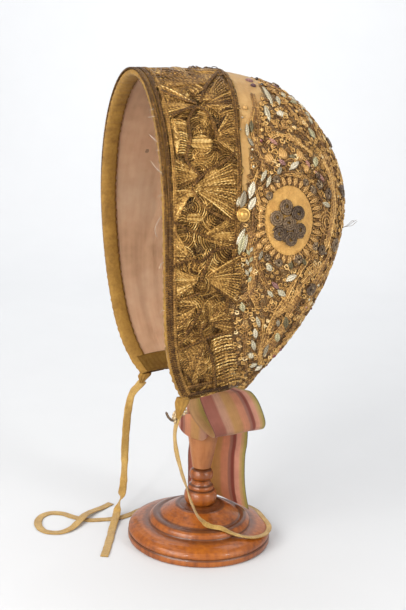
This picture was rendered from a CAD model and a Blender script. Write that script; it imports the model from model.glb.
"""Dressed scene of an embroidered coif on its turned wooden stand.

The coif's outer silk is one surface of two numbers, station (0 at the face edge, 1 at the nape) and
side (+1 at the left hem, 0 on the ridge, -1 at the right hem). Cloth, lace and embroidery are all laid
on that surface, at heights above it. Lengths are metres, apart from tables that name millimetres.
"""

import logging
import math
from dataclasses import dataclass, field
from enum import Enum
from typing import Callable, Iterable, Optional, Sequence

import bmesh
import bpy
import numpy as np
from mathutils import Matrix, Vector
from mathutils.bvhtree import BVHTree


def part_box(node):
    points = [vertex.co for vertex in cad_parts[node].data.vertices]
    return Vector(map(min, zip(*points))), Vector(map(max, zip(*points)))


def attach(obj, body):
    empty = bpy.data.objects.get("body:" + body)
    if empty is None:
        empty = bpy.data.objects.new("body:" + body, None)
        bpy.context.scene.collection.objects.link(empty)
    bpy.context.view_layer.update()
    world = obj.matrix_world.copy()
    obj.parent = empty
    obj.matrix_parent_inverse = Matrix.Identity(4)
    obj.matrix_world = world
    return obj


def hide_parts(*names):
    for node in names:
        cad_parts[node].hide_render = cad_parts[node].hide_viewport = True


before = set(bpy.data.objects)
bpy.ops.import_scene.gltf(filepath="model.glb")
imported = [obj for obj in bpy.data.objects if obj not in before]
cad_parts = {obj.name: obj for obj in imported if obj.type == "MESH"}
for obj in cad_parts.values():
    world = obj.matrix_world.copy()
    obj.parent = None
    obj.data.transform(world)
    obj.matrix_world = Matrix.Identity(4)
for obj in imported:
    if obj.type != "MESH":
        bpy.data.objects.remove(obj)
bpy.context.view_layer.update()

LOG = logging.getLogger("coif")
MM = 0.001

TAU = 2 * math.pi

Array = np.ndarray
Piece = bpy.types.Object
Shape = bmesh.types.BMesh
Socket = bpy.types.NodeSocket
Point = tuple[float, float]
Colour = tuple[float, float, float]


class Half(Enum):
    """The two halves of the coif, as the sign of side."""

    LEFT = 1
    RIGHT = -1

    @property
    def label(self) -> str:
        """The half's word in the names of its pieces."""
        return self.name.lower()


class Tint(Enum):
    """Colours of the embroidery's silks, metal threads and beads."""

    SILVER = (0.60, 0.54, 0.38)
    WHITE = (0.80, 0.73, 0.56)
    SAGE = (0.52, 0.48, 0.28)
    GREY = (0.34, 0.29, 0.20)
    MAUVE = (0.34, 0.17, 0.15)
    PINK = (0.50, 0.25, 0.19)
    OLIVE = (0.16, 0.13, 0.06)
    GOLD = (0.72, 0.45, 0.14)
    TAN = (0.64, 0.37, 0.12)
    AMBER = (0.52, 0.28, 0.08)
    WINE = (0.16, 0.03, 0.03)
    BLACK = (0.045, 0.035, 0.03)
    PLUM = (0.13, 0.06, 0.07)


# Form of the coif

COIF_TILT = math.radians(6.5)
COIF_PIVOT = 0.250
COIF_SHAPE = [
    # station, ridge_y, ridge_z, hem_y, hem_z, half_width, hem_half_width, widest, bow (mm)
    (0.00, -60.0, 352.0, -36.0, 128.0, 81.5, 52.0, 0.57, 32.0),
    (0.12, -24.0, 353.5, -20.0, 130.5, 84.0, 51.5, 0.56, 40.0),
    (0.25, 12.0, 352.5, -7.0, 132.0, 85.5, 50.0, 0.55, 42.0),
    (0.37, 49.0, 340.5, -3.0, 132.5, 84.0, 48.0, 0.52, 24.0),
    (0.48, 78.0, 312.0, -0.5, 132.5, 79.5, 45.5, 0.49, 10.0),
    (0.58, 92.5, 276.0, 1.5, 132.5, 73.0, 43.2, 0.46, 3.0),
    (0.69, 86.0, 234.0, 3.2, 132.5, 63.0, 41.2, 0.41, 0.0),
    (0.80, 64.5, 193.0, 4.6, 132.0, 50.8, 39.4, 0.32, 0.0),
    (0.90, 42.5, 160.0, 5.8, 131.5, 41.4, 37.9, 0.18, 0.0),
    (1.00, 20.8, 127.5, 6.8, 131.0, 37.0, 36.7, 0.02, 0.0),
]
BOW_SHARE = 0.52
BOW_HEIGHT = 0.12
BOW_LEAN = 0.35
HEM_TURN = 0.96
MAP_LENGTH = 0.24
MAP_HALF = 0.27
SEAM_STATION = 0.205
SEAM_DRIFT = 0.085
SEAM_DRIFT_FROM = 0.35


def seam_station(side: float) -> float:
    """Station of the seam between the lace band and the crown.

    Args:
        side: Side of the coif, -1 to 1.
    Returns:
        The station.
    """
    return SEAM_STATION + SEAM_DRIFT * max(abs(side) - SEAM_DRIFT_FROM, 0.0) / (1.0 - SEAM_DRIFT_FROM)


class CoifForm:
    """The coif's outer silk, sampled on a fine grid of station and side."""

    ROWS = 201
    COLUMNS = 401

    def __init__(self) -> None:
        """Sample the surface with its normals and directions."""
        self.stations = np.linspace(0.0, 1.0, self.ROWS)
        self.sides = np.linspace(-1.0, 1.0, self.COLUMNS)
        self.points = np.zeros((self.ROWS, self.COLUMNS, 3))
        for row, station in enumerate(self.stations):
            self.points[row] = self._row(float(station))
        back = np.gradient(self.points, self.stations, axis=0)
        along = np.gradient(self.points, self.sides, axis=1)
        margin = int(round((1.0 - HEM_TURN) / 2.0 * (self.COLUMNS - 1)))
        for grid in (back, along):
            grid[:, :margin] = grid[:, margin : margin + 1]
            grid[:, -margin:] = grid[:, -margin - 1 : -margin]
        normal = np.cross(along, back)
        normal /= np.linalg.norm(normal, axis=2, keepdims=True)
        middle = np.array([0.0, 10.0, 235.0]) * MM
        inward = np.sum(normal * (self.points - middle), axis=2) < 0.0
        normal[inward] *= -1.0
        turn = np.array(Matrix.Rotation(-COIF_TILT, 3, "Y"))
        pivot = np.array([0.0, 0.0, COIF_PIVOT])
        self.points = (self.points - pivot) @ turn.T + pivot
        self.normals = normal @ turn.T
        self.back = back @ turn.T
        self.along = along @ turn.T

    @staticmethod
    def _table(at: float) -> list[float]:
        """Read the shape table at a station, with a cubic through its rows."""
        rows = COIF_SHAPE
        stations = [row[0] for row in rows]
        last = len(rows) - 1
        low = min(int(np.searchsorted(stations, at, side="right")) - 1, last - 1)
        span = stations[low + 1] - stations[low]
        part = (at - stations[low]) / span
        before, after = rows[max(low - 1, 0)], rows[min(low + 2, last)]
        square, cube = part * part, part**3
        values = []
        for column in range(1, len(rows[0])):
            start, end = rows[low][column], rows[low + 1][column]
            slope_start = (end - before[column]) / (stations[low + 1] - before[0]) * span
            slope_end = (after[column] - start) / (after[0] - stations[low]) * span
            values.append(
                (2 * cube - 3 * square + 1) * start
                + (cube - 2 * square + part) * slope_start
                + (3 * square - 2 * cube) * end
                + (cube - square) * slope_end
            )
        return values

    def _row(self, station: float) -> Array:
        """All the points of one station, before the coif is leaned."""
        ridge_y, ridge_z, hem_y, hem_z, half, hem_half, widest, bow = self._table(station)
        rise = math.hypot(ridge_y - hem_y, ridge_z - hem_z)
        quarter = math.pi / 4.0 * math.sqrt(2.0 * (half**2 + ((1.0 - widest) * rise) ** 2))
        top_share = quarter / (quarter + widest * rise)
        reach = np.abs(self.sides)
        angle = (1.0 - np.minimum(reach / top_share, 1.0)) * math.pi / 2.0
        up = np.clip(1.0 - (reach - top_share) / (1.0 - top_share), 0.0, 1.0)
        top = reach <= top_share
        across = np.where(
            top, half * np.cos(angle), hem_half + (half - hem_half) * np.sin(up * math.pi / 2.0)
        )
        height = np.where(top, widest + (1.0 - widest) * np.sin(angle), widest * up)
        forward = bow * (1.0 - height) * (
            BOW_SHARE * (1.0 - np.exp(-height / BOW_HEIGHT)) + BOW_LEAN * height
        )
        y = hem_y + (ridge_y - hem_y) * height - forward
        z = hem_z + (ridge_z - hem_z) * height
        return np.stack([across * np.sign(self.sides + 1e-12), y, z], axis=1) * MM

    def _read(self, grid: Array, station: Array, side: Array) -> Array:
        """Read a grid between its samples; past an edge it runs on straight."""
        row = np.asarray(station, float) * (self.ROWS - 1)
        column = (np.asarray(side, float) + 1.0) / 2.0 * (self.COLUMNS - 1)
        i = np.clip(np.floor(row).astype(int), 0, self.ROWS - 2)
        j = np.clip(np.floor(column).astype(int), 0, self.COLUMNS - 2)
        u, v = (row - i)[..., None], (column - j)[..., None]
        return (
            grid[i, j] * (1 - u) * (1 - v)
            + grid[i + 1, j] * u * (1 - v)
            + grid[i, j + 1] * (1 - u) * v
            + grid[i + 1, j + 1] * u * v
        )

    def normal(self, station: Array, side: Array) -> Array:
        """Outward normals at stations and sides."""
        found = self._read(self.normals, np.clip(station, 0.0, 1.0), np.clip(side, -1.0, 1.0))
        return found / np.linalg.norm(found, axis=-1, keepdims=True)

    def place(self, station: Array, side: Array, lift: Array = 0.0) -> Array:
        """Points at a height above the silk.

        Args:
            station: Stations.
            side: Sides.
            lift: Height above the silk, in metres.
        Returns:
            Points, one row each.
        """
        height = np.asarray(lift, float)
        if height.ndim:
            height = height[..., None]
        return self._read(self.points, station, side) + self.normal(station, side) * height

    def steps(self, station: float, side: float) -> Array:
        """How stations and sides change with a step on the silk.

        Args:
            station: Station of the middle.
            side: Side of the middle.
        Returns:
            A 2 by 2 matrix: (station, side) change for a metre (backwards, upwards).
        """
        spot = (np.array([min(max(station, 0.0), 1.0)]), np.array([min(max(side, -1.0), 1.0)]))
        back, along = self._read(self.back, *spot)[0], self._read(self.along, *spot)[0]
        out = self.normal(*spot)[0]
        rear = back / np.linalg.norm(back)
        upward = np.cross(rear, out) if side >= 0 else np.cross(out, rear)
        if upward[2] < 0.0 and abs(side) > 0.15:
            upward = -upward
        grid = np.array([[back @ rear, along @ rear], [back @ upward, along @ upward]])
        return np.linalg.inv(grid)

    def on_silk(self, station: Array, side: Array, lift: Array) -> tuple[Array, Array]:
        """Points at a height above the silk, and the outward directions there."""
        return self.place(station, side, lift), self.normal(station, side)

    def beside(self, line: Array, half: Half) -> tuple[Array, Array, Array]:
        """A line of stations and sides on a half: its points, outward and sideways directions."""
        points, normals = self.on_silk(line[:, 0], line[:, 1] * half.value, 0.0)
        return points, normals, np.cross(unit(np.gradient(points, axis=0)), normals)

    def local(self, station: float, side: float, flat: Array) -> tuple[Array, Array]:
        """Stations and sides of flat offsets (backwards, upwards) round a middle, in metres."""
        change = flat @ self.steps(station, side).T
        return station + change[:, 0], side + change[:, 1]


# Camera

@dataclass(frozen=True)
class Lens:
    """The photograph's camera: where it stands, how it is turned and its focal length in pixels."""

    focal: float = 1000.0
    azimuth: float = math.radians(70.0)
    pitch: float = math.radians(12.46)
    roll: float = math.radians(2.59)
    distance: float = 0.7242
    height: float = 0.3441
    aside: float = -0.0046
    width: int = 406
    tall: int = 610

    def axes(self) -> tuple[Vector, Vector, Vector, Vector]:
        """Right, up and forward directions, and the position."""
        level = Vector((-math.sin(self.azimuth), math.cos(self.azimuth), 0.0))
        right = Vector((math.cos(self.azimuth), math.sin(self.azimuth), 0.0))
        up = level * math.sin(self.pitch) + Vector((0, 0, 1)) * math.cos(self.pitch)
        forward = level * math.cos(self.pitch) - Vector((0, 0, 1)) * math.sin(self.pitch)
        turned_right = right * math.cos(self.roll) + up * math.sin(self.roll)
        turned_up = up * math.cos(self.roll) - right * math.sin(self.roll)
        position = -level * self.distance + right * self.aside + Vector((0, 0, self.height))
        return turned_right, turned_up, forward, position

    def ray(self, x: float, y: float) -> tuple[Vector, Vector]:
        """Start and direction of the line of sight through a pixel of the photograph."""
        right, up, forward, position = self.axes()
        way = forward + right * ((x - self.width / 2) / self.focal) + up * ((self.tall / 2 - y) / self.focal)
        return position, way.normalized()

    def pixel(self, points: Array) -> Array:
        """Pixels at which points are seen."""
        right, up, forward, position = (np.array(v) for v in self.axes())
        away = points - position
        depth = away @ forward
        across, down = self.focal * (away @ right) / depth, self.focal * (away @ up) / depth
        return np.stack([self.width / 2 + across, self.tall / 2 - down], axis=1)

    def build(self) -> Piece:
        """Add the camera to the scene and make it the active one."""
        data = bpy.data.cameras.new("camera")
        data.sensor_fit = "VERTICAL"
        data.sensor_height = 36.0
        data.lens = self.focal / self.tall * data.sensor_height
        data.clip_end = 30.0
        camera = bpy.data.objects.new("camera", data)
        right, up, forward, position = self.axes()
        turn = Matrix((right, up, -forward)).transposed().to_4x4()
        camera.matrix_world = Matrix.Translation(position) @ turn
        bpy.context.scene.collection.objects.link(camera)
        bpy.context.scene.camera = camera
        return camera


class Sight:
    """Finds the place on the coif that a pixel of the photograph shows."""

    def __init__(self, form: CoifForm, lens: Lens) -> None:
        """Build the surface that the camera's rays are sent to.

        Args:
            form: The coif's outer silk.
            lens: The camera of the photograph.
        """
        self.form = form
        self.lens = lens
        self.rows = np.linspace(0.0, 1.0, 91)
        self.columns = np.linspace(-0.2, 1.0, 121)
        grid_rows, grid_columns = np.meshgrid(self.rows, self.columns, indexing="ij")
        points = form.place(grid_rows.ravel(), grid_columns.ravel())
        wide = len(self.columns)
        quads = []
        for i in range(len(self.rows) - 1):
            for j in range(wide - 1):
                a = i * wide + j
                quads.append((a, a + 1, a + wide + 1))
                quads.append((a, a + wide + 1, a + wide))
        self.flat = np.stack([grid_rows.ravel(), grid_columns.ravel()], axis=1)
        self.points = points
        self.triangles = quads
        self.tree = BVHTree.FromPolygons([Vector(p) for p in points], quads)

    def find(self, x: float, y: float) -> tuple[float, float]:
        """Station and side under a pixel; a pixel past the outline is drawn in until it meets the coif."""
        for step in range(40):
            share = step * 0.01
            start, way = self.lens.ray(x + (250.0 - x) * share, y + (225.0 - y) * share)
            spot, _, index, _ = self.tree.ray_cast(start, way)
            if spot is not None:
                corners = self.triangles[index]
                a, b, c = (self.points[k] for k in corners)
                grid = np.stack([b - a, c - a], axis=1)
                share_b, share_c = np.linalg.lstsq(grid, np.array(spot) - a, rcond=None)[0]
                flat = self.flat[list(corners)]
                found = flat[0] + (flat[1] - flat[0]) * share_b + (flat[2] - flat[0]) * share_c
                return float(found[0]), float(found[1])
        raise ValueError(f"pixel {x}, {y} does not meet the coif")

    def trace(self, pixels: Sequence[Point], spacing: float = 1.6) -> Array:
        """Stations and sides along a smooth line through pixels."""
        line = smooth_line(np.array(pixels, float), spacing)
        return np.array([self.find(x, y) for x, y in line])


def lengths(points: Array) -> Array:
    """How far along a line each of its points is."""
    return np.concatenate([[0.0], np.cumsum(np.linalg.norm(np.diff(points, axis=0), axis=1))])


def unit(vectors: Array) -> Array:
    """Vectors made one long."""
    return vectors / np.maximum(np.linalg.norm(vectors, axis=-1, keepdims=True), 1e-9)


def smooth_rows(rows: Array, steps: int) -> Array:
    """Rows with smooth rows put between them; a row is a point, or a line of points."""
    padded = np.concatenate([rows[:1] * 2 - rows[1:2], rows, rows[-1:] * 2 - rows[-2:-1]])
    fine = []
    for before, start, end, after in zip(padded, padded[1:], padded[2:], padded[3:]):
        first = end - before
        second = 2 * before - 5 * start + 4 * end - after
        third = 3 * start - before - 3 * end + after
        fine += [
            0.5 * (2 * start + first * t + second * t**2 + third * t**3) for t in np.arange(steps) / steps
        ]
    fine.append(rows[-1])
    return np.array(fine)


def smooth_line(points: Array, spacing: float) -> Array:
    """A smooth curve through points, read at even spacing.

    Args:
        points: The points, one row each.
        spacing: Distance between samples.
    Returns:
        The samples, from the first point to the last.
    """
    if len(points) > 2:
        points = smooth_rows(points, 16)
    travelled = lengths(points)
    count = max(int(round(travelled[-1] / spacing)), 2)
    marks = np.linspace(0.0, travelled[-1], count + 1)
    return np.stack([np.interp(marks, travelled, points[:, k]) for k in range(points.shape[1])], axis=1)


# Finishes


@dataclass(frozen=True)
class Surface:
    """What a finish gives its shader: a colour, a height with its depth in metres, and plain values."""

    colour: Socket
    values: dict[str, float]
    height: Optional[Socket] = None
    depth: float = 0.0


class Wiring:
    """Builds one node tree, node by node."""

    def __init__(self, tree: bpy.types.NodeTree) -> None:
        """Take the node tree that is built."""
        self.tree = tree

    def add(self, kind: str, inputs: Optional[dict] = None, **settings: object) -> bpy.types.Node:
        """Add a node, set its options and its inputs; an input may be a value or another node's output."""
        node = self.tree.nodes.new(kind)
        for name, value in settings.items():
            setattr(node, name, value)
        for key, value in (inputs or {}).items():
            if isinstance(value, Socket):
                self.tree.links.new(value, node.inputs[key])
            else:
                node.inputs[key].default_value = value
        return node

    def math(self, kind: str, *values: object) -> Socket:
        """A Math node's result."""
        return self.add("ShaderNodeMath", dict(enumerate(values)), operation=kind).outputs[0]

    def times(self, value: object, gain: object) -> Socket:
        """A value times a gain."""
        return self.math("MULTIPLY", value, gain)

    def blend(self, first: object, first_gain: object, second: object, second_gain: object) -> Socket:
        """The sum of two values, each times its gain."""
        return self.math("MULTIPLY_ADD", first, first_gain, self.times(second, second_gain))

    def centred(self, value: Socket) -> Socket:
        """A value from 0 to 1, moved to between -0.5 and 0.5."""
        return self.math("SUBTRACT", value, 0.5)

    def place(self) -> Socket:
        """The point on the object, in metres."""
        return self.add("ShaderNodeTexCoord").outputs["Object"]

    def flat(self) -> Socket:
        """The point on the piece's flat map, in metres."""
        return self.add("ShaderNodeUVMap").outputs["UV"]

    def attribute(self, name: str, output: str = "Fac") -> Socket:
        """An attribute of the mesh."""
        return self.add("ShaderNodeAttribute", attribute_name=name).outputs[output]

    def vector_math(self, kind: str, output: int, *values: object) -> Socket:
        """A Vector Math node's result: output 0 is a vector, 1 a value."""
        return self.add("ShaderNodeVectorMath", dict(enumerate(values)), operation=kind).outputs[output]

    def scaled(self, vector: Socket, scale: Colour) -> Socket:
        """A vector with each of its axes scaled."""
        return self.add("ShaderNodeMapping", {"Vector": vector, "Scale": scale}).outputs[0]

    def noise(self, vector: Socket, scale: object, detail: float, output: str = "Fac") -> Socket:
        """A cloudy noise."""
        return self.add("ShaderNodeTexNoise", {"Vector": vector, "Scale": scale, "Detail": detail}).outputs[
            output
        ]

    def wave(
        self, vector: Socket, scale: object, axis: str, bend: float, detail: float = 2.0, fine: float = 1.0
    ) -> Socket:
        """Bands that follow each other along an axis, with some bend."""
        inputs = {
            "Vector": vector, "Scale": scale, "Distortion": bend, "Detail": detail, "Detail Scale": fine
        }
        return self.add("ShaderNodeTexWave", inputs, bands_direction=axis).outputs["Fac"]

    def remap(self, value: Socket, low: float, high: float, at_low: float, at_high: float) -> Socket:
        """A value between low and high, moved to between at_low and at_high."""
        return self.add("ShaderNodeMapRange", {0: value, 1: low, 2: high, 3: at_low, 4: at_high}).outputs[0]

    def effect(self, name: str, **inputs: object) -> Socket:
        """The value of a shared effect."""
        return self.add("ShaderNodeGroup", inputs, node_tree=Effects.get(name)).outputs[0]

    def mottle(self, scale: float) -> Socket:
        """The shared soft cloud, over the object."""
        return self.effect("mottle", Vector=self.place(), Scale=scale)

    def weave(self, threads: float) -> Socket:
        """The shared weave, over the flat map."""
        return self.effect("weave", Vector=self.flat(), Scale=threads)

    def ramp(self, factor: Socket, stops: Iterable[tuple[float, Colour]]) -> Socket:
        """A colour ramp over (place, colour) stops."""
        node = self.add("ShaderNodeValToRGB", {"Fac": factor})
        band = node.color_ramp
        stops = list(stops)
        while len(band.elements) < len(stops):
            band.elements.new(0.5)
        for element, (place, colour) in zip(band.elements, stops):
            element.position = place
            element.color = (*colour, 1.0)
        return node.outputs["Color"]

    def mix(self, factor: object, low: object, high: object, kind: str = "MIX") -> Socket:
        """A mix of two colours."""
        inputs = {0: factor}
        for index, value in ((6, low), (7, high)):
            inputs[index] = value if isinstance(value, Socket) else (*value, 1.0)
        return self.add("ShaderNodeMix", inputs, data_type="RGBA", blend_type=kind).outputs[2]


def shared_group(name: str, output: str, inputs: dict[str, Optional[float]]) -> tuple[Wiring, list[Socket]]:
    """Start a node group with one value output.

    Args:
        name: Name of the group.
        output: Label of its output.
        inputs: Label and default of each input; a vector has no default.
    Returns:
        The group's wiring, and what its inputs bring in.
    """
    tree = bpy.data.node_groups.new(name, "ShaderNodeTree")
    for label, value in inputs.items():
        kind = "NodeSocketVector" if value is None else "NodeSocketFloat"
        socket = tree.interface.new_socket(label, in_out="INPUT", socket_type=kind)
        if value is not None:
            socket.default_value = value
    tree.interface.new_socket(output, in_out="OUTPUT", socket_type="NodeSocketFloat")
    wiring = Wiring(tree)
    return wiring, list(wiring.add("NodeGroupInput").outputs)


class Effects:
    """Node groups that several finishes share. Each gives one varying value."""

    _built: dict[str, bpy.types.NodeTree] = {}

    @classmethod
    def get(cls, name: str) -> bpy.types.NodeTree:
        """The node group of that name, built at its first use."""
        if name not in cls._built:
            wiring, result = {"mottle": cls._mottle, "weave": cls._weave, "twist": cls._twist}[name]()
            wiring.add("NodeGroupOutput", {0: result})
            cls._built[name] = wiring.tree
        return cls._built[name]

    @staticmethod
    def _mottle() -> tuple[Wiring, Socket]:
        """Two sizes of soft cloud, for uneven dye, wear and dust."""
        wiring, (vector, scale, *_) = shared_group("mottle", "Fac", {"Vector": None, "Scale": 60.0})
        big = wiring.noise(vector, scale, 3.0)
        small = wiring.noise(vector, wiring.times(scale, 5.3), 2.0)
        return wiring, wiring.blend(small, 0.4, big, 0.6)

    @staticmethod
    def _weave() -> tuple[Wiring, Socket]:
        """Plain weave: warp and weft ridges, over a flat map in metres."""
        wiring, (vector, scale, *_) = shared_group("weave", "Height", {"Vector": None, "Scale": 600.0})
        ridges = [wiring.wave(vector, scale, axis, 1.2, 1.0) for axis in "XY"]
        return wiring, wiring.math("MAXIMUM", *ridges)

    @staticmethod
    def _twist() -> tuple[Wiring, Socket]:
        """Slanting strands of a twisted thread, from its own lay attribute."""
        wiring, (pitch, *_) = shared_group("twist", "Height", {"Pitch": 2600.0})
        lay = wiring.attribute("lay", "Vector")
        along, side, rise = wiring.add("ShaderNodeSeparateXYZ", {0: lay}).outputs
        phase = wiring.times(along, pitch)
        wave = wiring.blend(wiring.math("COSINE", phase), rise, wiring.math("SINE", phase), side)
        return wiring, wiring.math("MULTIPLY_ADD", wave, 0.5, 0.5)


class Finish:
    """A material: every finish fills in wire()."""

    name: str

    def wire(self, wiring: Wiring) -> Surface:
        """Wire the finish's pattern."""
        raise NotImplementedError

    def build(self) -> bpy.types.Material:
        """The material, built at its first use."""
        label = "dressed_" + self.name
        known = bpy.data.materials.get(label)
        if known:
            return known
        material = bpy.data.materials.new(label)
        material.use_nodes = True
        shader = material.node_tree.nodes["Principled BSDF"]
        wiring = Wiring(material.node_tree)
        surface = self.wire(wiring)
        wiring.tree.links.new(surface.colour, shader.inputs["Base Color"])
        for key, value in surface.values.items():
            shader.inputs[key].default_value = value
        if surface.height is not None:
            bump = wiring.add(
                "ShaderNodeBump", {"Height": surface.height, "Distance": surface.depth, "Strength": 1.0}
            )
            wiring.tree.links.new(bump.outputs["Normal"], shader.inputs["Normal"])
        return material


@dataclass(frozen=True)
class ClothFinish(Finish):
    """Woven cloth: a mottled dye, a weave and some sheen."""

    name: str
    dark: Colour
    mid: Colour
    light: Colour
    roughness: float = 0.8
    threads: float = 700.0
    depth: float = 0.00012
    cloud: float = 60.0
    sheen: float = 0.15
    metallic: float = 0.0

    def wire(self, wiring: Wiring) -> Surface:
        """Wire cloud and weave."""
        weave = wiring.weave(self.threads)
        shade = wiring.blend(weave, 0.22, wiring.mottle(self.cloud), 0.9)
        colour = wiring.ramp(shade, [(0.30, self.dark), (0.52, self.mid), (0.80, self.light)])
        values = {"Roughness": self.roughness, "Metallic": self.metallic, "Sheen Weight": self.sheen}
        return Surface(colour, values, weave, self.depth)


@dataclass(frozen=True)
class NetFinish(Finish):
    """The net under the lace: bent threads that cross, with dark gaps, over a flat map in metres."""

    name: str
    stops: tuple[tuple[float, Colour], ...]
    cell: float = 1.7 * MM
    sway: float = 2.2 * MM
    depth: float = 0.00045

    def wire(self, wiring: Wiring) -> Surface:
        """Wire the cells' edges, a set of strands and an uneven tarnish."""
        flat = wiring.flat()
        cloud = wiring.noise(flat, 330.0, 1.0, "Color")
        bent = wiring.vector_math("MULTIPLY_ADD", 0, cloud, (self.sway, self.sway, 0.0), flat)
        inputs = {"Vector": bent, "Scale": 1.0 / self.cell}
        cells = wiring.add(
            "ShaderNodeTexVoronoi", inputs, feature="DISTANCE_TO_EDGE", voronoi_dimensions="2D"
        )
        edges = wiring.remap(cells.outputs["Distance"], 0.06, 0.30, 1.0, 0.0)
        strands = wiring.wave(bent, 230.0, "DIAGONAL", 3.0, 1.0, 1.5)
        height = wiring.math("MAXIMUM", edges, wiring.times(strands, 0.8))
        shade = wiring.blend(wiring.centred(wiring.mottle(150.0)), 1.1, height, 0.8)
        return Surface(
            wiring.ramp(shade, self.stops), {"Metallic": 0.35, "Roughness": 0.5}, height, self.depth
        )


@dataclass(frozen=True)
class CrownFinish(Finish):
    """The crown: plain silk where its zone attribute is 0, small rings of couched cord where it is 1."""

    name: str
    silk: tuple[tuple[float, Colour], ...]
    rings: tuple[tuple[float, Colour], ...]
    cell: float = 3.4 * MM

    def wire(self, wiring: Wiring) -> Surface:
        """Wire the silk's weave and the rings, chosen by zone."""
        zone = wiring.attribute("zone")
        cloud, weave = wiring.mottle(70.0), wiring.weave(520.0)
        plain = wiring.ramp(wiring.blend(weave, 0.25, cloud, 0.85), self.silk)
        cells = wiring.add("ShaderNodeTexVoronoi", {"Vector": wiring.place(), "Scale": 1.0 / self.cell})
        away = cells.outputs["Distance"]
        coil = wiring.math("MULTIPLY_ADD", wiring.math("SINE", wiring.times(away, 19.0)), 0.5, 0.5)
        raised = wiring.times(coil, wiring.remap(away, 0.40, 0.62, 1.0, 0.15))
        worked = wiring.ramp(wiring.blend(raised, 0.8, wiring.centred(cloud), 1.1), self.rings)
        height = wiring.blend(weave, 0.12, raised, zone)
        values = {"Roughness": 0.55, "Sheen Weight": 0.25}
        return Surface(wiring.mix(zone, plain, worked), values, height, 0.0007)


@dataclass(frozen=True)
class LinenFinish(Finish):
    """The worn lining: pinkish linen with stains, each given by its place and size on the map."""

    name: str = "lining_linen"
    stains: tuple[tuple[float, float, float], ...] = ()

    def wire(self, wiring: Wiring) -> Surface:
        """Wire weave, slubs and stains."""
        flat = wiring.flat()
        weave = wiring.weave(420.0)
        slub = wiring.noise(wiring.scaled(flat, (260.0, 22.0, 1.0)), 1.0, 3.0)
        shade = wiring.blend(slub, 0.2, wiring.mottle(22.0), 0.8)
        colour = wiring.ramp(
            shade, [(0.32, (0.68, 0.41, 0.23)), (0.5, (0.84, 0.54, 0.33)), (0.68, (0.93, 0.66, 0.44))]
        )
        for x, y, size in self.stains:
            away = wiring.vector_math("DISTANCE", 1, flat, (x, y, 0.0))
            edge = wiring.math("MULTIPLY_ADD", wiring.noise(flat, 500.0, 2.0), size * 1.4, away)
            mask = wiring.times(wiring.math("LESS_THAN", edge, size * 1.7), 0.55)
            colour = wiring.mix(mask, colour, (0.20, 0.09, 0.06))
        return Surface(colour, {"Roughness": 0.92, "Sheen Weight": 0.2}, weave, 0.00010)


@dataclass(frozen=True)
class ThreadFinish(Finish):
    """Twisted thread: the tone attribute picks the colour from dark to bright."""

    name: str
    stops: tuple[tuple[float, Colour], ...]
    metallic: float
    roughness: float
    pitch: float = 2600.0
    depth: float = 0.00012

    def wire(self, wiring: Wiring) -> Surface:
        """Wire tone, mottle and twist."""
        twist = wiring.effect("twist", Pitch=self.pitch)
        shade = wiring.math(
            "MULTIPLY_ADD", wiring.centred(wiring.mottle(220.0)), 0.9, wiring.attribute("tone")
        )
        shade = wiring.math("MULTIPLY_ADD", wiring.centred(twist), 0.22, shade)
        values = {"Metallic": self.metallic, "Roughness": self.roughness}
        return Surface(wiring.ramp(shade, self.stops), values, twist, self.depth)


@dataclass(frozen=True)
class TintFinish(Finish):
    """Satin stitches, spangles or beads, coloured by their own tint attribute."""

    name: str
    metallic: float
    roughness: float
    pitch: float = 3600.0
    depth: float = 0.0002
    coat: float = 0.0

    def wire(self, wiring: Wiring) -> Surface:
        """Wire tint, stitches and tarnish."""
        stitch = wiring.effect("twist", Pitch=self.pitch)
        shade = wiring.blend(wiring.mottle(260.0), 0.8, stitch, 0.35)
        worn = wiring.ramp(shade, [(0.30, (0.55, 0.47, 0.37)), (0.66, (1.0, 1.0, 1.0))])
        colour = wiring.mix(1.0, wiring.attribute("tint", "Color"), worn, "MULTIPLY")
        values = {"Metallic": self.metallic, "Roughness": self.roughness, "Coat Weight": self.coat}
        return Surface(colour, values, stitch, self.depth)


@dataclass(frozen=True)
class WoodFinish(Finish):
    """Turned wood: grain along the axis, fine lathe rings and darker grooves."""

    name: str
    dark: Colour
    mid: Colour
    light: Colour
    roughness: float
    coat: float
    rings: float
    grooves: tuple[float, ...] = ()
    groove_width: float = 0.0011
    crack: Optional[tuple[float, float, float]] = None

    def wire(self, wiring: Wiring) -> Surface:
        """Wire grain, rings and grooves."""
        place = wiring.place()
        grain = wiring.noise(wiring.scaled(place, (300.0, 300.0, 26.0)), 1.0, 5.0)
        shade = wiring.blend(grain, 0.5, wiring.mottle(30.0), 0.55)
        colour = wiring.ramp(shade, [(0.36, self.dark), (0.52, self.mid), (0.70, self.light)])
        height = wiring.add("ShaderNodeSeparateXYZ", {0: place}).outputs[2]
        for groove in self.grooves:
            away = wiring.math("ABSOLUTE", wiring.math("SUBTRACT", height, groove))
            mask = wiring.remap(wiring.math("DIVIDE", away, self.groove_width), 0.35, 1.0, 0.75, 0.0)
            colour = wiring.mix(mask, colour, (0.055, 0.018, 0.008))
        if self.crack:
            away = wiring.vector_math("SUBTRACT", 0, place, self.crack)
            size = wiring.vector_math("LENGTH", 1, wiring.scaled(away, (0.55, 1.0, 2.4)))
            mask = wiring.times(wiring.math("LESS_THAN", size, 0.0011), 0.8)
            colour = wiring.mix(mask, colour, (0.04, 0.015, 0.01))
        values = {"Roughness": self.roughness, "Coat Weight": self.coat, "Coat Roughness": 0.08}
        return Surface(colour, values, wiring.wave(place, self.rings, "Z", 2.0), 0.00008)


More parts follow.
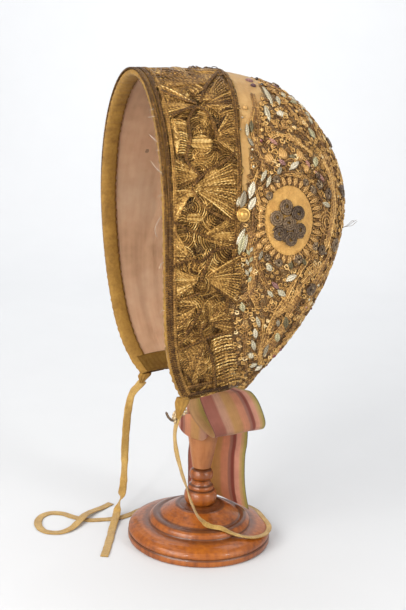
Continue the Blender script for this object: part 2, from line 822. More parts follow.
@dataclass(frozen=True)
class StripeFinish(Finish):
    """Striped silk: stripes across the first coordinate of the map, ribs along the second."""

    name: str
    stripes: tuple[tuple[float, Colour], ...]
    roughness: float = 0.42

    def wire(self, wiring: Wiring) -> Surface:
        """Wire stripes and ribs."""
        flat = wiring.flat()
        across = wiring.add("ShaderNodeSeparateXYZ", {0: flat}).outputs[0]
        streak = wiring.noise(wiring.scaled(flat, (240.0, 40.0, 1.0)), 1.0, 2.0)
        shade = wiring.blend(streak, 0.5, wiring.mottle(50.0), 0.6)
        worn = wiring.ramp(shade, [(0.35, (0.72, 0.66, 0.62)), (0.70, (1.0, 1.0, 1.0))])
        colour = wiring.mix(1.0, wiring.ramp(across, self.stripes), worn, "MULTIPLY")
        values = {"Roughness": self.roughness, "Sheen Weight": 0.25}
        return Surface(colour, values, wiring.wave(flat, 380.0, "Y", 0.6), 0.00006)


@dataclass(frozen=True)
class PlainFinish(Finish):
    """The pale backdrop, with a very faint unevenness."""

    name: str
    low: Colour
    high: Colour

    def wire(self, wiring: Wiring) -> Surface:
        """Wire a faint cloud."""
        colour = wiring.ramp(wiring.mottle(3.0), [(0.3, self.low), (0.7, self.high)])
        return Surface(colour, {"Roughness": 0.9})


GILT_STOPS = (
    (0.0, (0.016, 0.006, 0.001)),
    (0.28, (0.085, 0.036, 0.007)),
    (0.50, (0.27, 0.135, 0.030)),
    (0.76, (0.62, 0.36, 0.095)),
    (1.0, (0.98, 0.72, 0.30)),
)
GILT_THREAD = ThreadFinish("gilt_thread", GILT_STOPS, metallic=0.65, roughness=0.34)
CORD_STOPS = (
    (0.0, (0.085, 0.036, 0.009)),
    (0.28, (0.26, 0.125, 0.032)),
    (0.55, (0.60, 0.34, 0.095)),
    (0.80, (0.84, 0.54, 0.20)),
    (1.0, (0.98, 0.80, 0.46)),
)
SILK_CORD = ThreadFinish("silk_cord", CORD_STOPS, metallic=0.2, roughness=0.5)
DARK_STOPS = (
    (0.0, (0.020, 0.011, 0.006)),
    (0.40, (0.085, 0.050, 0.026)),
    (0.72, (0.22, 0.140, 0.070)),
    (1.0, (0.64, 0.48, 0.27)),
)
DARK_COIL = ThreadFinish("dark_coil", DARK_STOPS, metallic=0.3, roughness=0.4)
PALE_STOPS = ((0.0, (0.45, 0.36, 0.26)), (0.5, (0.72, 0.64, 0.54)), (1.0, (0.9, 0.86, 0.78)))
FRAYED_THREAD = ThreadFinish("frayed_thread", PALE_STOPS, metallic=0.0, roughness=0.85)
PLAIN_STOPS = ((0.30, (0.58, 0.32, 0.085)), (0.52, (0.78, 0.48, 0.155)), (0.80, (0.90, 0.62, 0.25)))
RING_STOPS = (
    (0.10, (0.23, 0.115, 0.030)),
    (0.36, (0.46, 0.25, 0.070)),
    (0.62, (0.70, 0.41, 0.130)),
    (0.95, (0.84, 0.55, 0.22)),
)
CROWN_SILK = CrownFinish("crown_silk", PLAIN_STOPS, RING_STOPS)
MEDALLION_SILK = ClothFinish(
    "medallion_silk", (0.33, 0.14, 0.020), (0.57, 0.29, 0.058), (0.82, 0.48, 0.13), 0.42, 520.0, 0.00018,
    160.0, 0.2, 0.3
)
NET_STOPS = (
    (0.14, (0.018, 0.008, 0.002)),
    (0.42, (0.090, 0.042, 0.011)),
    (0.66, (0.27, 0.145, 0.038)),
    (0.95, (0.56, 0.34, 0.11)),
)
LACE_GAUZE = NetFinish("lace_gauze", NET_STOPS)
BINDING_SILK = ClothFinish(
    "binding_silk", (0.12, 0.050, 0.004), (0.25, 0.122, 0.012), (0.40, 0.215, 0.032), 0.7, 900.0, 0.00008,
    90.0, 0.05
)
TIE_TAPE = ClothFinish(
    "tie_tape", (0.20, 0.096, 0.012), (0.38, 0.212, 0.038), (0.55, 0.35, 0.095), 0.75, 900.0, 0.00010, 140.0,
    0.25
)
SATIN_STITCH = TintFinish("satin_stitch", 0.30, 0.36)
BEAD_GLASS = TintFinish("bead", 0.25, 0.18, 900.0, 0.00003, 0.6)
BUTTON_METAL = ClothFinish(
    "button_gilt", (0.36, 0.19, 0.04), (0.60, 0.36, 0.10), (0.82, 0.56, 0.22), 0.36, 300.0, 0.00001, 200.0,
    0.0, 0.6
)
VARNISH_GROOVES = (0.0052, 0.0142, 0.0192, 0.0272, 0.0396, 0.0435, 0.0482, 0.0556)
STAND_VARNISH = WoodFinish(
    "stand_varnish", (0.12, 0.026, 0.0015), (0.28, 0.068, 0.003), (0.41, 0.115, 0.006), 0.38, 0.30, 260.0,
    VARNISH_GROOVES, 0.0010, (0.0506, -0.0232, 0.0062),
)
STAND_WOOD = WoodFinish(
    "stand_wood", (0.24, 0.078, 0.021), (0.36, 0.130, 0.037), (0.45, 0.185, 0.058), 0.5, 0.1, 700.0,
    VARNISH_GROOVES
)
RIBBON_STRIPES = (
    (0.00, (0.22, 0.08, 0.05)),
    (0.03, (0.44, 0.15, 0.10)),
    (0.22, (0.47, 0.16, 0.10)),
    (0.26, (0.66, 0.37, 0.25)),
    (0.36, (0.68, 0.38, 0.23)),
    (0.41, (0.66, 0.37, 0.12)),
    (0.55, (0.64, 0.34, 0.12)),
    (0.59, (0.72, 0.32, 0.17)),
    (0.69, (0.68, 0.30, 0.17)),
    (0.71, (0.46, 0.21, 0.14)),
    (0.745, (0.42, 0.17, 0.12)),
    (0.76, (0.32, 0.075, 0.045)),
    (0.80, (0.34, 0.075, 0.045)),
    (0.82, (0.74, 0.38, 0.27)),
    (0.885, (0.80, 0.42, 0.30)),
    (0.905, (0.70, 0.46, 0.23)),
    (0.935, (0.66, 0.44, 0.19)),
    (0.955, (0.54, 0.44, 0.13)),
    (0.982, (0.46, 0.38, 0.10)),
    (1.00, (0.06, 0.055, 0.035)),
)
RIBBON_SILK = StripeFinish("ribbon_striped_silk", RIBBON_STRIPES)
BACKDROP = PlainFinish("backdrop", (0.66, 0.675, 0.70), (0.68, 0.695, 0.72))


# Mesh helpers

def make_object(name: str, mesh: bpy.types.Mesh, finish: Finish) -> Piece:
    """Link a mesh as an object with its finish, smooth-shaded."""
    mesh.materials.append(finish.build())
    mesh.shade_smooth()
    made = bpy.data.objects.new(name, mesh)
    bpy.context.scene.collection.objects.link(made)
    LOG.info("%s: %d faces", name, len(mesh.polygons))
    return made


def from_bmesh(name: str, shape: Shape, finish: Finish, sharp: Optional[float] = None) -> Piece:
    """Turn a bmesh into an object; sharp is the angle in degrees past which edges stay crisp."""
    mesh = bpy.data.meshes.new(name)
    shape.to_mesh(mesh)
    shape.free()
    made = make_object(name, mesh, finish)
    if sharp:
        mesh.set_sharp_from_angle(angle=math.radians(sharp))
    return made


def grid_shape(points: Array, flat: Array, closed: bool = False) -> Shape:
    """A sheet of quads through a grid of points, with a flat map in metres.

    Args:
        points: Rows by columns by 3.
        flat: Rows by columns by 2, the map.
        closed: Whether the last column joins the first.
    Returns:
        The sheet.
    """
    shape = bmesh.new()
    layer = shape.loops.layers.uv.new("UVMap")
    rows, columns = points.shape[:2]
    verts = [[shape.verts.new(points[i, j]) for j in range(columns)] for i in range(rows)]
    spans = columns if closed else columns - 1
    for i in range(rows - 1):
        for j in range(spans):
            n = (j + 1) % columns
            face = shape.faces.new((verts[i][j], verts[i][n], verts[i + 1][n], verts[i + 1][j]))
            places = ((i, j), (i, n), (i + 1, n), (i + 1, j))
            for loop, (row, column) in zip(face.loops, places):
                loop[layer].uv = flat[row, column]
    return shape


def thicken(shape: Shape, thickness: float) -> Shape:
    """Give a sheet a second face, on the side that its thickness sign names."""
    bmesh.ops.solidify(shape, geom=shape.faces[:], thickness=thickness)
    return shape


def rolled(name: str, grid: Array, run: Array, step: float, finish: Finish) -> Piece:
    """A closed tube of cloth through rings of points.

    Args:
        name: Name of the object.
        grid: Rings by points by 3.
        run: Where each ring is on the flat map.
        step: Distance between a ring's points on the flat map.
        finish: Its finish.
    Returns:
        The object.
    """
    flat = np.stack(np.meshgrid(run, np.arange(grid.shape[1]) * step, indexing="ij"), axis=2)
    shape = grid_shape(grid, flat, closed=True)
    bmesh.ops.holes_fill(shape, edges=shape.edges[:], sides=0)
    bmesh.ops.recalc_face_normals(shape, faces=shape.faces[:])
    return from_bmesh(name, shape, finish)


def spun(outline: Sequence[Point], steps: int) -> Shape:
    """An outline of (radius, height) in millimetres, spun round the upright axis."""
    shape = bmesh.new()
    verts = [shape.verts.new((radius * MM, 0.0, height * MM)) for radius, height in outline]
    edges = [shape.edges.new(pair) for pair in zip(verts, verts[1:])]
    axis = {"cent": (0, 0, 0), "axis": (0, 0, 1), "angle": TAU}
    bmesh.ops.spin(shape, geom=verts + edges, steps=steps, use_merge=True, **axis)
    bmesh.ops.remove_doubles(shape, verts=shape.verts[:], dist=0.01 * MM)
    return shape


def silk_map(stations: Array, sides: Array) -> Array:
    """The flat map of places on the silk, in metres."""
    return np.stack([stations * MAP_LENGTH, sides * MAP_HALF], axis=2)


def polar(radius: Array, angle: Array, long: float = 1.0, tall: float = 1.0) -> Array:
    """Flat offsets at a radius and angle, stretched by long and tall."""
    return np.stack([radius * np.cos(angle) * long, radius * np.sin(angle) * tall], axis=1)


def wave_noise(values: Array, seed: int, octaves: int = 4) -> Array:
    """Smooth noise in one dimension, about -1 to 1, with a period near 1 at its largest."""
    generator = np.random.default_rng(seed)
    total = np.zeros_like(values, float)
    for octave in range(octaves):
        share = 0.6**octave
        total += share * np.sin(
            values * (2.0**octave) * TAU * generator.uniform(0.8, 1.2) + generator.uniform(0, 6.3)
        )
    return total / 1.6


class Work:
    """Many small shapes gathered into one mesh, each point with its lay and one more value."""

    value_kind: tuple[str, str, str]

    def __init__(self, name: str, finish: Finish, corners: int = 4) -> None:
        """Start with no shapes.

        Args:
            name: Name of the piece.
            finish: Its finish.
            corners: Corners of a thread's cross section.
        """
        self.name = name
        self.finish = finish
        self.corners = corners
        self.parts: list[tuple[Array, Array, Array, Array]] = []
        self.count = 0

    def gather(self, points: Array, faces: Array, lay: Array, value: Array) -> None:
        """Add points with their faces' corners, lays and values."""
        self.parts.append(
            (points.reshape(-1, 3), faces.reshape(-1, 4) + self.count, lay.reshape(-1, 3), value)
        )
        self.count += len(self.parts[-1][0])

    def build(self) -> Piece:
        """The shapes as one object."""
        mesh = bpy.data.meshes.new(self.name)
        points, faces, lays, values = (np.concatenate(rows) for rows in zip(*self.parts))
        mesh.from_pydata(points.tolist(), [], faces.tolist())
        lay_kind = ("lay", "FLOAT_VECTOR", "vector")
        for (label, kind, slot), rows in ((lay_kind, lays), (self.value_kind, values)):
            mesh.attributes.new(label, kind, "POINT").data.foreach_set(slot, rows.ravel())
        return make_object(self.name, mesh, self.finish)


class ThreadWork(Work):
    """Many threads laid side by side, as fine tubes. Each has a tone."""

    value_kind = ("tone", "FLOAT", "value")

    def add(
        self,
        points: Array,
        normals: Array,
        width: float,
        tone: float = 0.5,
        height: Optional[float] = None,
        taper: float = 0.45,
    ) -> None:
        """Lay one thread.

        Args:
            points: Its middle line.
            normals: Direction away from the cloth at each point.
            width: Width across the cloth.
            tone: Where it sits between dark and bright.
            height: Height off the cloth, the width unless given.
            taper: Size of the two ends against the middle.
        """
        number = len(points)
        if number < 2:
            return
        run = unit(np.gradient(points, axis=0))
        across = unit(np.cross(run, normals))
        out = np.cross(across, run)
        size = np.ones(number)
        size[0] = size[-1] = taper
        tall = width if height is None else height
        travelled = lengths(points)
        rings, lays = [], []
        for k in range(self.corners):
            angle = TAU * (k + 0.5) / self.corners
            side, rise = math.cos(angle), math.sin(angle)
            shift = across * (side * width / 2.0) + out * (rise * tall / 2.0)
            rings.append(points + shift * size[:, None])
            lays.append(np.stack([travelled, np.full(number, side), np.full(number, rise)], axis=1))
        first = np.arange(number - 1)[:, None] * self.corners
        k = np.arange(self.corners)[None, :]
        n = (k + 1) % self.corners
        quads = np.stack([first + k, first + n, first + n + self.corners, first + k + self.corners], axis=2)
        self.gather(
            np.stack(rings, axis=1), quads, np.stack(lays, axis=1), np.full(number * self.corners, tone)
        )


class Appliques(Work):
    """Small domed shapes sewn to the silk, such as leaves, lobes and beads. Each has a tint."""

    value_kind = ("tint", "FLOAT_COLOR", "color")

    def add_grid(self, points: Array, along: Array, tint: Tint, shade: Optional[Array] = None) -> None:
        """Add a grid of points as a surface.

        Args:
            points: Rows by columns by 3.
            along: How far along its stitches' lay each point is.
            tint: Colour of the silk.
            shade: What the colour is multiplied by at each point.
        """
        rows, columns = points.shape[:2]
        colour = np.ones((rows * columns, 4))
        colour[:, :3] = np.array(tint.value)
        if shade is not None:
            colour[:, :3] *= shade.reshape(-1, 1)
        first = (np.arange(rows - 1)[:, None] * columns + np.arange(columns - 1)).ravel()
        quads = np.stack([first, first + 1, first + columns + 1, first + columns], axis=1)
        self.gather(
            points, quads, np.stack([along, np.ones_like(along), np.zeros_like(along)], axis=2), colour
        )


# The cloth of the coif

@dataclass
class CoifCloth:
    """Lining, crown silk and the gauze under the lace."""

    form: CoifForm
    lens: Lens
    columns: int = 161
    lining_depth: float = 3.1 * MM
    lining_thickness: float = 1.0 * MM
    crown_thickness: float = 1.4 * MM
    gauze_lift: float = 0.2 * MM

    def sheet(
        self,
        name: str,
        finish: Finish,
        start: Callable[[float], float],
        end: Callable[[float], float],
        rows: int,
        lift: Callable[[Array, Array], Array],
        thickness: float,
    ) -> Piece:
        """A part of the coif's cloth between two stations.

        Args:
            name: Name of the object.
            finish: Its finish.
            start: First station for each side.
            end: Last station for each side.
            rows: Number of rows of quads.
            lift: Height above the silk, from arrays of station and side.
            thickness: Thickness of the cloth; a negative one grows the other way.
        Returns:
            The object.
        """
        sides = np.linspace(-1.0, 1.0, self.columns)
        low = np.array([start(s) for s in sides])
        high = np.array([end(s) for s in sides])
        share = np.linspace(0.0, 1.0, rows)[:, None]
        stations = low[None, :] + (high - low)[None, :] * share
        grid_sides = np.broadcast_to(sides, stations.shape)
        points = self.form.place(stations, grid_sides, lift(stations, grid_sides))
        flat = silk_map(stations, grid_sides)
        return from_bmesh(name, thicken(grid_shape(points, flat), thickness), finish)

    def lining(self) -> Piece:
        """The linen lining, slack in soft folds from ridge to hem."""

        def folds(station: Array, side: Array) -> Array:
            """Height of the linen, under the silk."""
            fade = np.sin(np.clip(station, 0, 1) * math.pi) ** 0.5 * np.clip((1 - np.abs(side)) * 6, 0, 1)
            moved = station + 0.03 * wave_noise(side * 1.5, 3)
            ripple = wave_noise(moved * 4.0, 5) + 0.6 * wave_noise(moved * 9.0 + side, 7)
            return -self.lining_depth - fade * (0.4 + 0.45 * ripple) * MM

        stains = (
            (0.020, 0.125, 0.0017), (0.018, 0.112, 0.0012), (0.075, 0.105, 0.0015), (0.03, -0.10, 0.0015)
        )
        return self.sheet(
            "dressed_lining", LinenFinish(stains=stains), lambda s: 0.002, lambda s: 0.998, 90, folds,
            self.lining_thickness,
        )

    def crown(self) -> Piece:
        """The crown's silk ground, slightly puckered by the embroidery."""

        def pucker(station: Array, side: Array) -> Array:
            """Height of the silk ground's puckers."""
            coarse = wave_noise(station * 11 + side * 3, 11) * wave_noise(side * 13 - station * 2, 12)
            return coarse * 0.35 * MM

        crown = self.sheet(
            "dressed_crown", CROWN_SILK, lambda s: seam_station(s) - 0.004, lambda s: 1.0, 110, pucker,
            -self.crown_thickness,
        )
        uvs = np.zeros(len(crown.data.loops) * 2)
        crown.data.uv_layers[0].data.foreach_get("uv", uvs)
        station, side = uvs[0::2] / MAP_LENGTH, np.abs(uvs[1::2] / MAP_HALF)
        pixels = self.lens.pixel(self.form.place(station, side))
        zone = crown.data.attributes.new("zone", "FLOAT", "CORNER")
        zone.data.foreach_set("value", 1.0 - inside(PLAIN_SILK, pixels).astype(float))
        return crown

    def gauze(self) -> Piece:
        """The dark gauze that shows between the threads of the lace."""

        def swell(station: Array, side: Array) -> Array:
            """Height of the gauze over the silk."""
            return self.gauze_lift + 0.25 * MM * wave_noise(side * 14 + station * 5, 21)

        return self.sheet(
            "dressed_gauze", LACE_GAUZE, lambda s: 0.0, lambda s: seam_station(s) + 0.004, 34, swell,
            -1.6 * MM,
        )


# Strands of the near tab's knot: pixels, width in millimetres, tone
KNOT_STRANDS = [
    ([(165.9, 411.8), (168.6, 417.4), (172.8, 420.6), (177.0, 418.4)], 2.4, 0.35),
    (
        [(172.6, 419.6), (174.4, 412.8), (180.2, 409.0), (186.4, 410.6), (183.2, 414.6), (175.6, 415.8)],
        2.3, 0.8,
    ),
    ([(178.6, 404.0), (177.2, 410.0), (175.2, 416.4), (174.8, 424.0)], 2.6, 0.92),
]


@dataclass
class Bindings:
    """The silk round the face edge, the nape hem and the gathered tabs."""

    form: CoifForm
    samples: int = 361
    scallop: float = 7.0

    def band(
        self, name: str, station: float, reach: float, profile: Sequence[Point], backwards: float,
        ruffle: float
    ) -> Piece:
        """A rolled strip along an edge.

        Args:
            name: Name of the object.
            station: Station of the edge.
            reach: Largest side that the strip covers.
            profile: (outward, beyond the edge) offsets in millimetres.
            backwards: +1 where beyond is backwards, -1 where it is forwards.
            ruffle: Depth of the puckers, in millimetres.
        Returns:
            The object.
        """
        sides = np.linspace(-reach, reach, self.samples)
        stations = np.full(self.samples, station)
        points = self.form.place(stations, sides)
        normals = self.form.normal(stations, sides)
        back = self.form._read(self.form.back, stations, sides)
        back /= np.linalg.norm(back, axis=1, keepdims=True)
        run = lengths(points) / MM
        pucker = wave_noise(run / self.scallop, 31, 3) + 0.5 * wave_noise(run / 2.3, 33, 2)
        columns = []
        for index, (out, beyond) in enumerate(profile):
            depth = ruffle * math.sin(math.pi * (index + 0.5) / len(profile))
            shift_out = (out + 0.35 * depth * pucker) * MM
            shift_on = (beyond + depth * 0.55 * np.roll(pucker, 5)) * backwards * MM
            columns.append(points + normals * shift_out[:, None] + back * shift_on[:, None])
        grid = np.stack(columns, axis=1)
        return rolled(name, grid, run * MM, 1.6 * MM, BINDING_SILK)

    def face_edge(self) -> Piece:
        """The strip over the face edge: a roll outside and a flap inside."""
        profile = [
            (0.70, -0.6), (0.90, 1.2), (0.45, 3.0), (-0.6, 4.0), (-1.9, 4.3), (-3.2, 3.8), (-4.2, 2.2),
            (-4.75, -0.6),
            (-4.9, -2.8), (-4.75, -5.2), (-4.3, -6.7), (-3.7, -6.8), (-3.5, -4.4), (-3.4, -1.5), (-2.2, 0.5),
            (-0.6, 0.4),
        ]
        return self.band("dressed_edge_binding", 0.0, 1.0, profile, -1.0, 0.95)

    def nape(self) -> Piece:
        """The narrow hem along the nape."""
        profile = [
            (0.45, -1.8), (0.6, 0.2), (0.0, 1.9), (-1.7, 2.5), (-3.3, 1.7), (-3.6, 0.2), (-3.5, -1.8),
            (-2.0, 0.3), (-0.6, 0.3),
        ]
        return self.band("dressed_nape_hem", 1.0, 0.97, profile, 1.0, 0.4)

    def inner_hem(self, half: Half) -> Piece:
        """The mustard strip turned up inside the hem."""
        stations = np.linspace(0.004, 0.96, 150)
        sides = np.array([1.0, 0.992, 0.98, 0.968, 0.958, 0.955])
        lifts = np.array([-5.2, -5.5, -5.6, -5.5, -5.2, -4.6]) * MM
        grid_stations, grid_sides = np.meshgrid(stations, sides, indexing="ij")
        pucker = 0.18 * MM * wave_noise(stations * 40.0, 61)[:, None]
        points = self.form.place(grid_stations, grid_sides * half.value, lifts[None, :] + pucker)
        shape = grid_shape(points, silk_map(grid_stations, grid_sides))
        return from_bmesh(f"dressed_inner_hem_{half.label}", thicken(shape, 0.4 * MM), BINDING_SILK)

    def knot(self, sight: "Sight") -> Piece:
        """The dark knotted end of silk at the near tab."""
        work = ThreadWork("dressed_tab_knot", DARK_COIL)
        root = np.array(TIE_LEFT_ROUTE[0]) * MM
        for pixels, width, tone in KNOT_STRANDS:
            line, normals = pinned_line(sight, root, pixels)
            work.add(line, normals, width * MM, tone, 0.8 * MM, 0.35)
        return work.build()

    def tab(self, half: Half, tie: Sequence[Sequence[float]]) -> Piece:
        """A gathered end of silk under a front corner: wide folds drawn in to the start of its tie."""
        sign = float(half.value)
        spot = self.form.place(np.array([0.0]), np.array([sign]), -1.55 * MM)[0]
        near = half is Half.LEFT
        top = spot + np.array([0.0, -3.4 if near else -0.6, 0.6 if near else -0.4]) * MM
        first, second = (np.array(point) * MM for point in tie[:2])
        end = first + (second - first) * 0.35
        rows = [
            (0.0, 9.4, 3.2), (0.2, 9.8, 4.0), (0.4, 8.4, 4.2), (0.6, 6.2, 3.8), (0.8, 4.4, 3.0),
            (1.0, 3.4, 2.4),
        ]
        rings = []
        for part, width, depth in rows:
            angle = np.linspace(0.0, TAU, 60, endpoint=False)
            pleat = 1.0 + 0.16 * np.cos(9 * angle + 2.0 * part) * (0.5 + 0.5 * part)
            centre = top + (end - top) * part
            ring = np.stack([depth * np.cos(angle), width * np.sin(angle), np.zeros_like(angle)], axis=1)
            ring[:, 2] = 0.5 * np.sin(5 * angle + 4 * part) * (1 - part)
            rings.append(centre + ring * (pleat[:, None] / 2.0) * MM)
        grid = smooth_rows(np.array(rings), 4)
        return rolled(
            f"dressed_tab_{half.label}", grid, np.arange(len(grid)) * 0.5 * MM, 0.5 * MM, BINDING_SILK
        )


def pinned_line(sight: "Sight", root: Array, pixels: Sequence[Point]) -> tuple[Array, Array]:
    """Points under pixels, at the depth of a root point, and the direction back to the camera.

    Args:
        sight: The photograph's sight lines.
        root: The point that sets the depth.
        pixels: The line, as pixels.
    Returns:
        The points, and one direction for each.
    """
    forward = sight.lens.axes()[2]
    start, _ = sight.lens.ray(*pixels[0])
    depth = (Vector(root) - start).dot(forward)
    line = []
    for x, y in smooth_line(np.array(pixels, float), 1.5):
        _, way = sight.lens.ray(x, y)
        line.append(np.array(start + way * (depth / way.dot(forward))))
    return np.array(line), np.tile(np.array(-forward), (len(line), 1))


# Lace

# Fans of the lace: hub, first and last corner of the mouth (pixels), ribs, tone
FANS = [
    ((197, 106), (152, 84), (165, 120), 10, 0.52), ((214, 84), (152, 70), (158, 90), 9, 0.42),
    ((203, 106), (220, 78), (240, 110), 9, 0.46), ((180, 140), (172, 120), (176, 156), 9, 0.54),
    ((214, 138), (228, 110), (238, 160), 10, 0.48), ((190, 188), (232, 164), (233, 220), 13, 0.5),
    ((202, 176), (172, 158), (176, 190), 9, 0.48), ((192, 190), (170, 192), (174, 224), 9, 0.5),
    ((199, 238), (234, 216), (237, 252), 10, 0.52), ((190, 257), (168, 224), (170, 264), 11, 0.55),
    ((200, 280), (172, 268), (175, 298), 10, 0.58), ((202, 279), (240, 256), (237, 306), 13, 0.46),
    ((200, 304), (174, 296), (178, 330), 11, 0.42), ((206, 322), (226, 304), (233, 334), 10, 0.4),
    ((206, 343), (174, 350), (196, 388), 13, 0.4),
]
# Ladders of ribs: two corners of the left end, two of the right (pixels), ribs, tone
LADDERS = [
    ((211, 337), (218, 387), (231, 332), (240, 380), 12, 0.66),
    ((173, 312), (177, 346), (184, 311), (188, 340), 11, 0.42),
    ((171, 121), (177, 157), (187, 124), (190, 158), 11, 0.58),
    ((172, 194), (174, 222), (184, 196), (188, 222), 8, 0.5),
    ((218, 112), (222, 136), (236, 106), (238, 132), 8, 0.44),
]
# Braided lines of the lace, as pixels
GIMPS = [
    [(171, 118), (185, 111), (201, 110), (213, 124), (216, 138)],
    [(236, 152), (221, 164), (206, 172), (190, 188)], [(191, 189), (201, 204), (215, 214), (234, 222)],
    [(172, 221), (188, 229), (213, 239)], [(189, 258), (201, 261), (214, 250), (237, 246)],
    [(172, 266), (186, 260), (191, 257)], [(200, 281), (206, 266), (213, 251)],
    [(201, 307), (191, 325), (178, 346)], [(233, 330), (206, 337), (176, 351)],
    [(173, 299), (184, 298), (200, 292)], [(160, 92), (176, 99), (196, 105)],
    [(196, 107), (188, 122), (190, 140), (186, 160), (200, 176)], [(217, 74), (206, 88), (200, 104)],
    [(205, 322), (200, 332), (206, 344), (212, 360), (214, 388)],
]
# Plain bright patches of the lace: centre, half width, half height (pixels), tone
PATCHES = [
    ((201, 144), 11, 8, 0.76), ((194, 218), 8, 5, 0.68), ((181, 127), 6, 4, 0.74), ((191, 192), 6, 5, 0.7),
    ((196, 362), 8, 9, 0.5), ((222, 236), 9, 5, 0.66), ((204, 99), 9, 4, 0.62),
]


# Broken threads at the near face edge, from root to end (pixels)
FRAYED = [
    [(155, 116), (152.2, 116.6), (147.7, 117.4)], [(154, 108.6), (151.5, 109.7), (148.8, 110)],
    [(157.5, 142), (154.5, 139.6), (149.2, 134.2)], [(163.4, 175), (162.2, 174), (156, 168), (151, 161)],
    [(163.6, 174), (162.2, 173), (158.4, 170)],
    [(162, 216), (159.9, 218.2), (156.8, 223.6), (154.9, 231.2), (157.6, 237.4)],
    [(161.5, 152), (158, 150), (155.5, 151)], [(163, 196), (160, 195), (157.5, 198)],
    [(164, 262), (161, 264), (159.5, 269)], [(165, 311), (162, 310), (160, 313)],
]


@dataclass
class LaceBand:
    """The band of gilt bobbin lace, thread by thread."""

    form: CoifForm
    sight: Sight
    thread: float = 0.90 * MM
    base_lift: float = 0.85 * MM
    crowding: float = 1.4
    seed: int = 4

    def __post_init__(self) -> None:
        """Start the random draws."""
        self.chance = np.random.default_rng(self.seed)

    def lay(self, work: ThreadWork, line: Array, half: Half, width: float, tone: float, lift: Array) -> None:
        """Lay one thread along stations and sides on a half of the coif."""
        station, side = line[:, 0], line[:, 1] * half.value
        work.add(*self.form.on_silk(station, side, lift), width, tone, width * 0.8)

    def rib(self, work: ThreadWork, start: Array, end: Array, half: Half, tone: float, bulge: float) -> None:
        """A rib of two threads twisted round each other, between two places on the silk."""
        a = self.form.place(*start[:, None])[0]
        b = self.form.place(*end[:, None])[0]
        length = float(np.linalg.norm(b - a))
        count = max(int(length / (1.5 * MM)), 3)
        t = np.linspace(0.0, 1.0, count + 1)
        middle = start + (end - start) * t[:, None]
        across = np.array([end[1] - start[1], -(end[0] - start[0])])
        across = across / max(np.linalg.norm(across), 1e-9)
        middle = middle + across * (np.sin(t * math.pi) * bulge)[:, None]
        swing = self.thread / 2.0 / MAP_HALF * 0.95
        beat = TAU * t * length / (3.4 * MM) + self.chance.uniform(0, 6.3)
        rise = self.base_lift + 0.55 * MM * np.sin(t * math.pi)
        for sign in (1.0, -1.0):
            line = middle + np.array([0.35, 1.0]) * (sign * swing * np.cos(beat))[:, None]
            lift = rise + 0.28 * MM * np.sin(beat) * sign
            self.lay(work, line, half, self.thread, tone + self.chance.uniform(-0.22, 0.22), lift)

    def braid(
        self, work: ThreadWork, line: Array, half: Half, width: float, tone: float, lift: float, wave: float
    ) -> None:
        """Three strands plaited along a line of stations and sides."""
        points = self.form.place(line[:, 0], line[:, 1] * half.value)
        travelled = lengths(points)
        count = max(int(travelled[-1] / (0.9 * MM)), 4)
        marks = np.linspace(0.0, travelled[-1], count)
        line = np.stack([np.interp(marks, travelled, line[:, k]) for k in range(2)], axis=1)
        points, normals, across = self.form.beside(line, half)
        for strand in range(3):
            phase = TAU * (marks / wave + strand / 3.0)
            shift = across * (np.sin(phase) * width / 2.0)[:, None]
            rise = normals * (lift + 0.3 * MM * np.sin(2 * phase))[:, None]
            work.add(
                points + shift + rise, normals, self.thread * 1.35, tone + self.chance.uniform(-0.08, 0.08)
            )

    def fans(self, work: ThreadWork, half: Half) -> None:
        """Every fan of ribs, with arcs worked across it."""
        for hub, first, last, ribs, tone in FANS:
            centre = np.array(self.sight.find(*hub))
            mouth = []
            ribs = round(ribs * self.crowding)
            for k in range(ribs):
                share = k / (ribs - 1)
                bow = 1.0 + 0.10 * math.sin(share * math.pi)
                x = hub[0] + (first[0] + (last[0] - first[0]) * share - hub[0]) * bow
                y = hub[1] + (first[1] + (last[1] - first[1]) * share - hub[1]) * bow
                mouth.append(np.array(self.sight.find(x, y)))
            for k, corner in enumerate(mouth):
                start = centre + (corner - centre) * self.chance.uniform(0.10, 0.20)
                self.rib(work, start, corner, half, tone + self.chance.uniform(-0.06, 0.22), 0.0)
            for reach in (0.40, 0.72, 1.0):
                arc = np.array([centre + (corner - centre) * reach for corner in mouth])
                wiggle = np.array([centre + (corner - centre) * (reach - 0.07) for corner in mouth])
                line = np.empty((2 * len(arc) - 1, 2))
                line[0::2] = arc
                line[1::2] = (wiggle[:-1] + wiggle[1:]) / 2.0
                line = smooth_line(line, 0.006)
                lift = np.full(len(line), self.base_lift + 0.3 * MM)
                self.lay(work, line, half, self.thread * 0.9, tone - 0.08, lift)

    def ladders(self, work: ThreadWork, half: Half) -> None:
        """Ribs that run side by side."""
        for top_left, low_left, top_right, low_right, ribs, tone in LADDERS:
            ribs = round(ribs * self.crowding)
            for k in range(ribs):
                share = k / (ribs - 1)
                pairs = ((top_left, low_left), (top_right, low_right))
                start, end = (
                    np.array(self.sight.find(*between(upper, lower, share))) for upper, lower in pairs
                )
                self.rib(work, start, end, half, tone + self.chance.uniform(-0.08, 0.18), 0.004)

    def patches(self, work: ThreadWork, half: Half) -> None:
        """Closely worked patches of bright thread."""
        for (x, y), wide, tall, tone in PATCHES:
            rows = int(tall * 2 / 1.25)
            for k in range(rows):
                up = -1.0 + 2.0 * (k + 0.5) / rows
                reach = wide * math.sqrt(max(1.0 - up * up, 0.05))
                slant = self.chance.uniform(-1.0, 1.0)
                level = y + up * tall
                line = self.sight.trace(
                    [(x - reach, level + slant), (x, level), (x + reach, level - slant)], 1.7
                )
                lift = np.full(len(line), self.base_lift + 0.55 * MM) + self.chance.normal(
                    0, 0.08 * MM, len(line)
                )
                self.lay(work, line, half, self.thread * 1.15, tone + self.chance.uniform(-0.2, 0.15), lift)

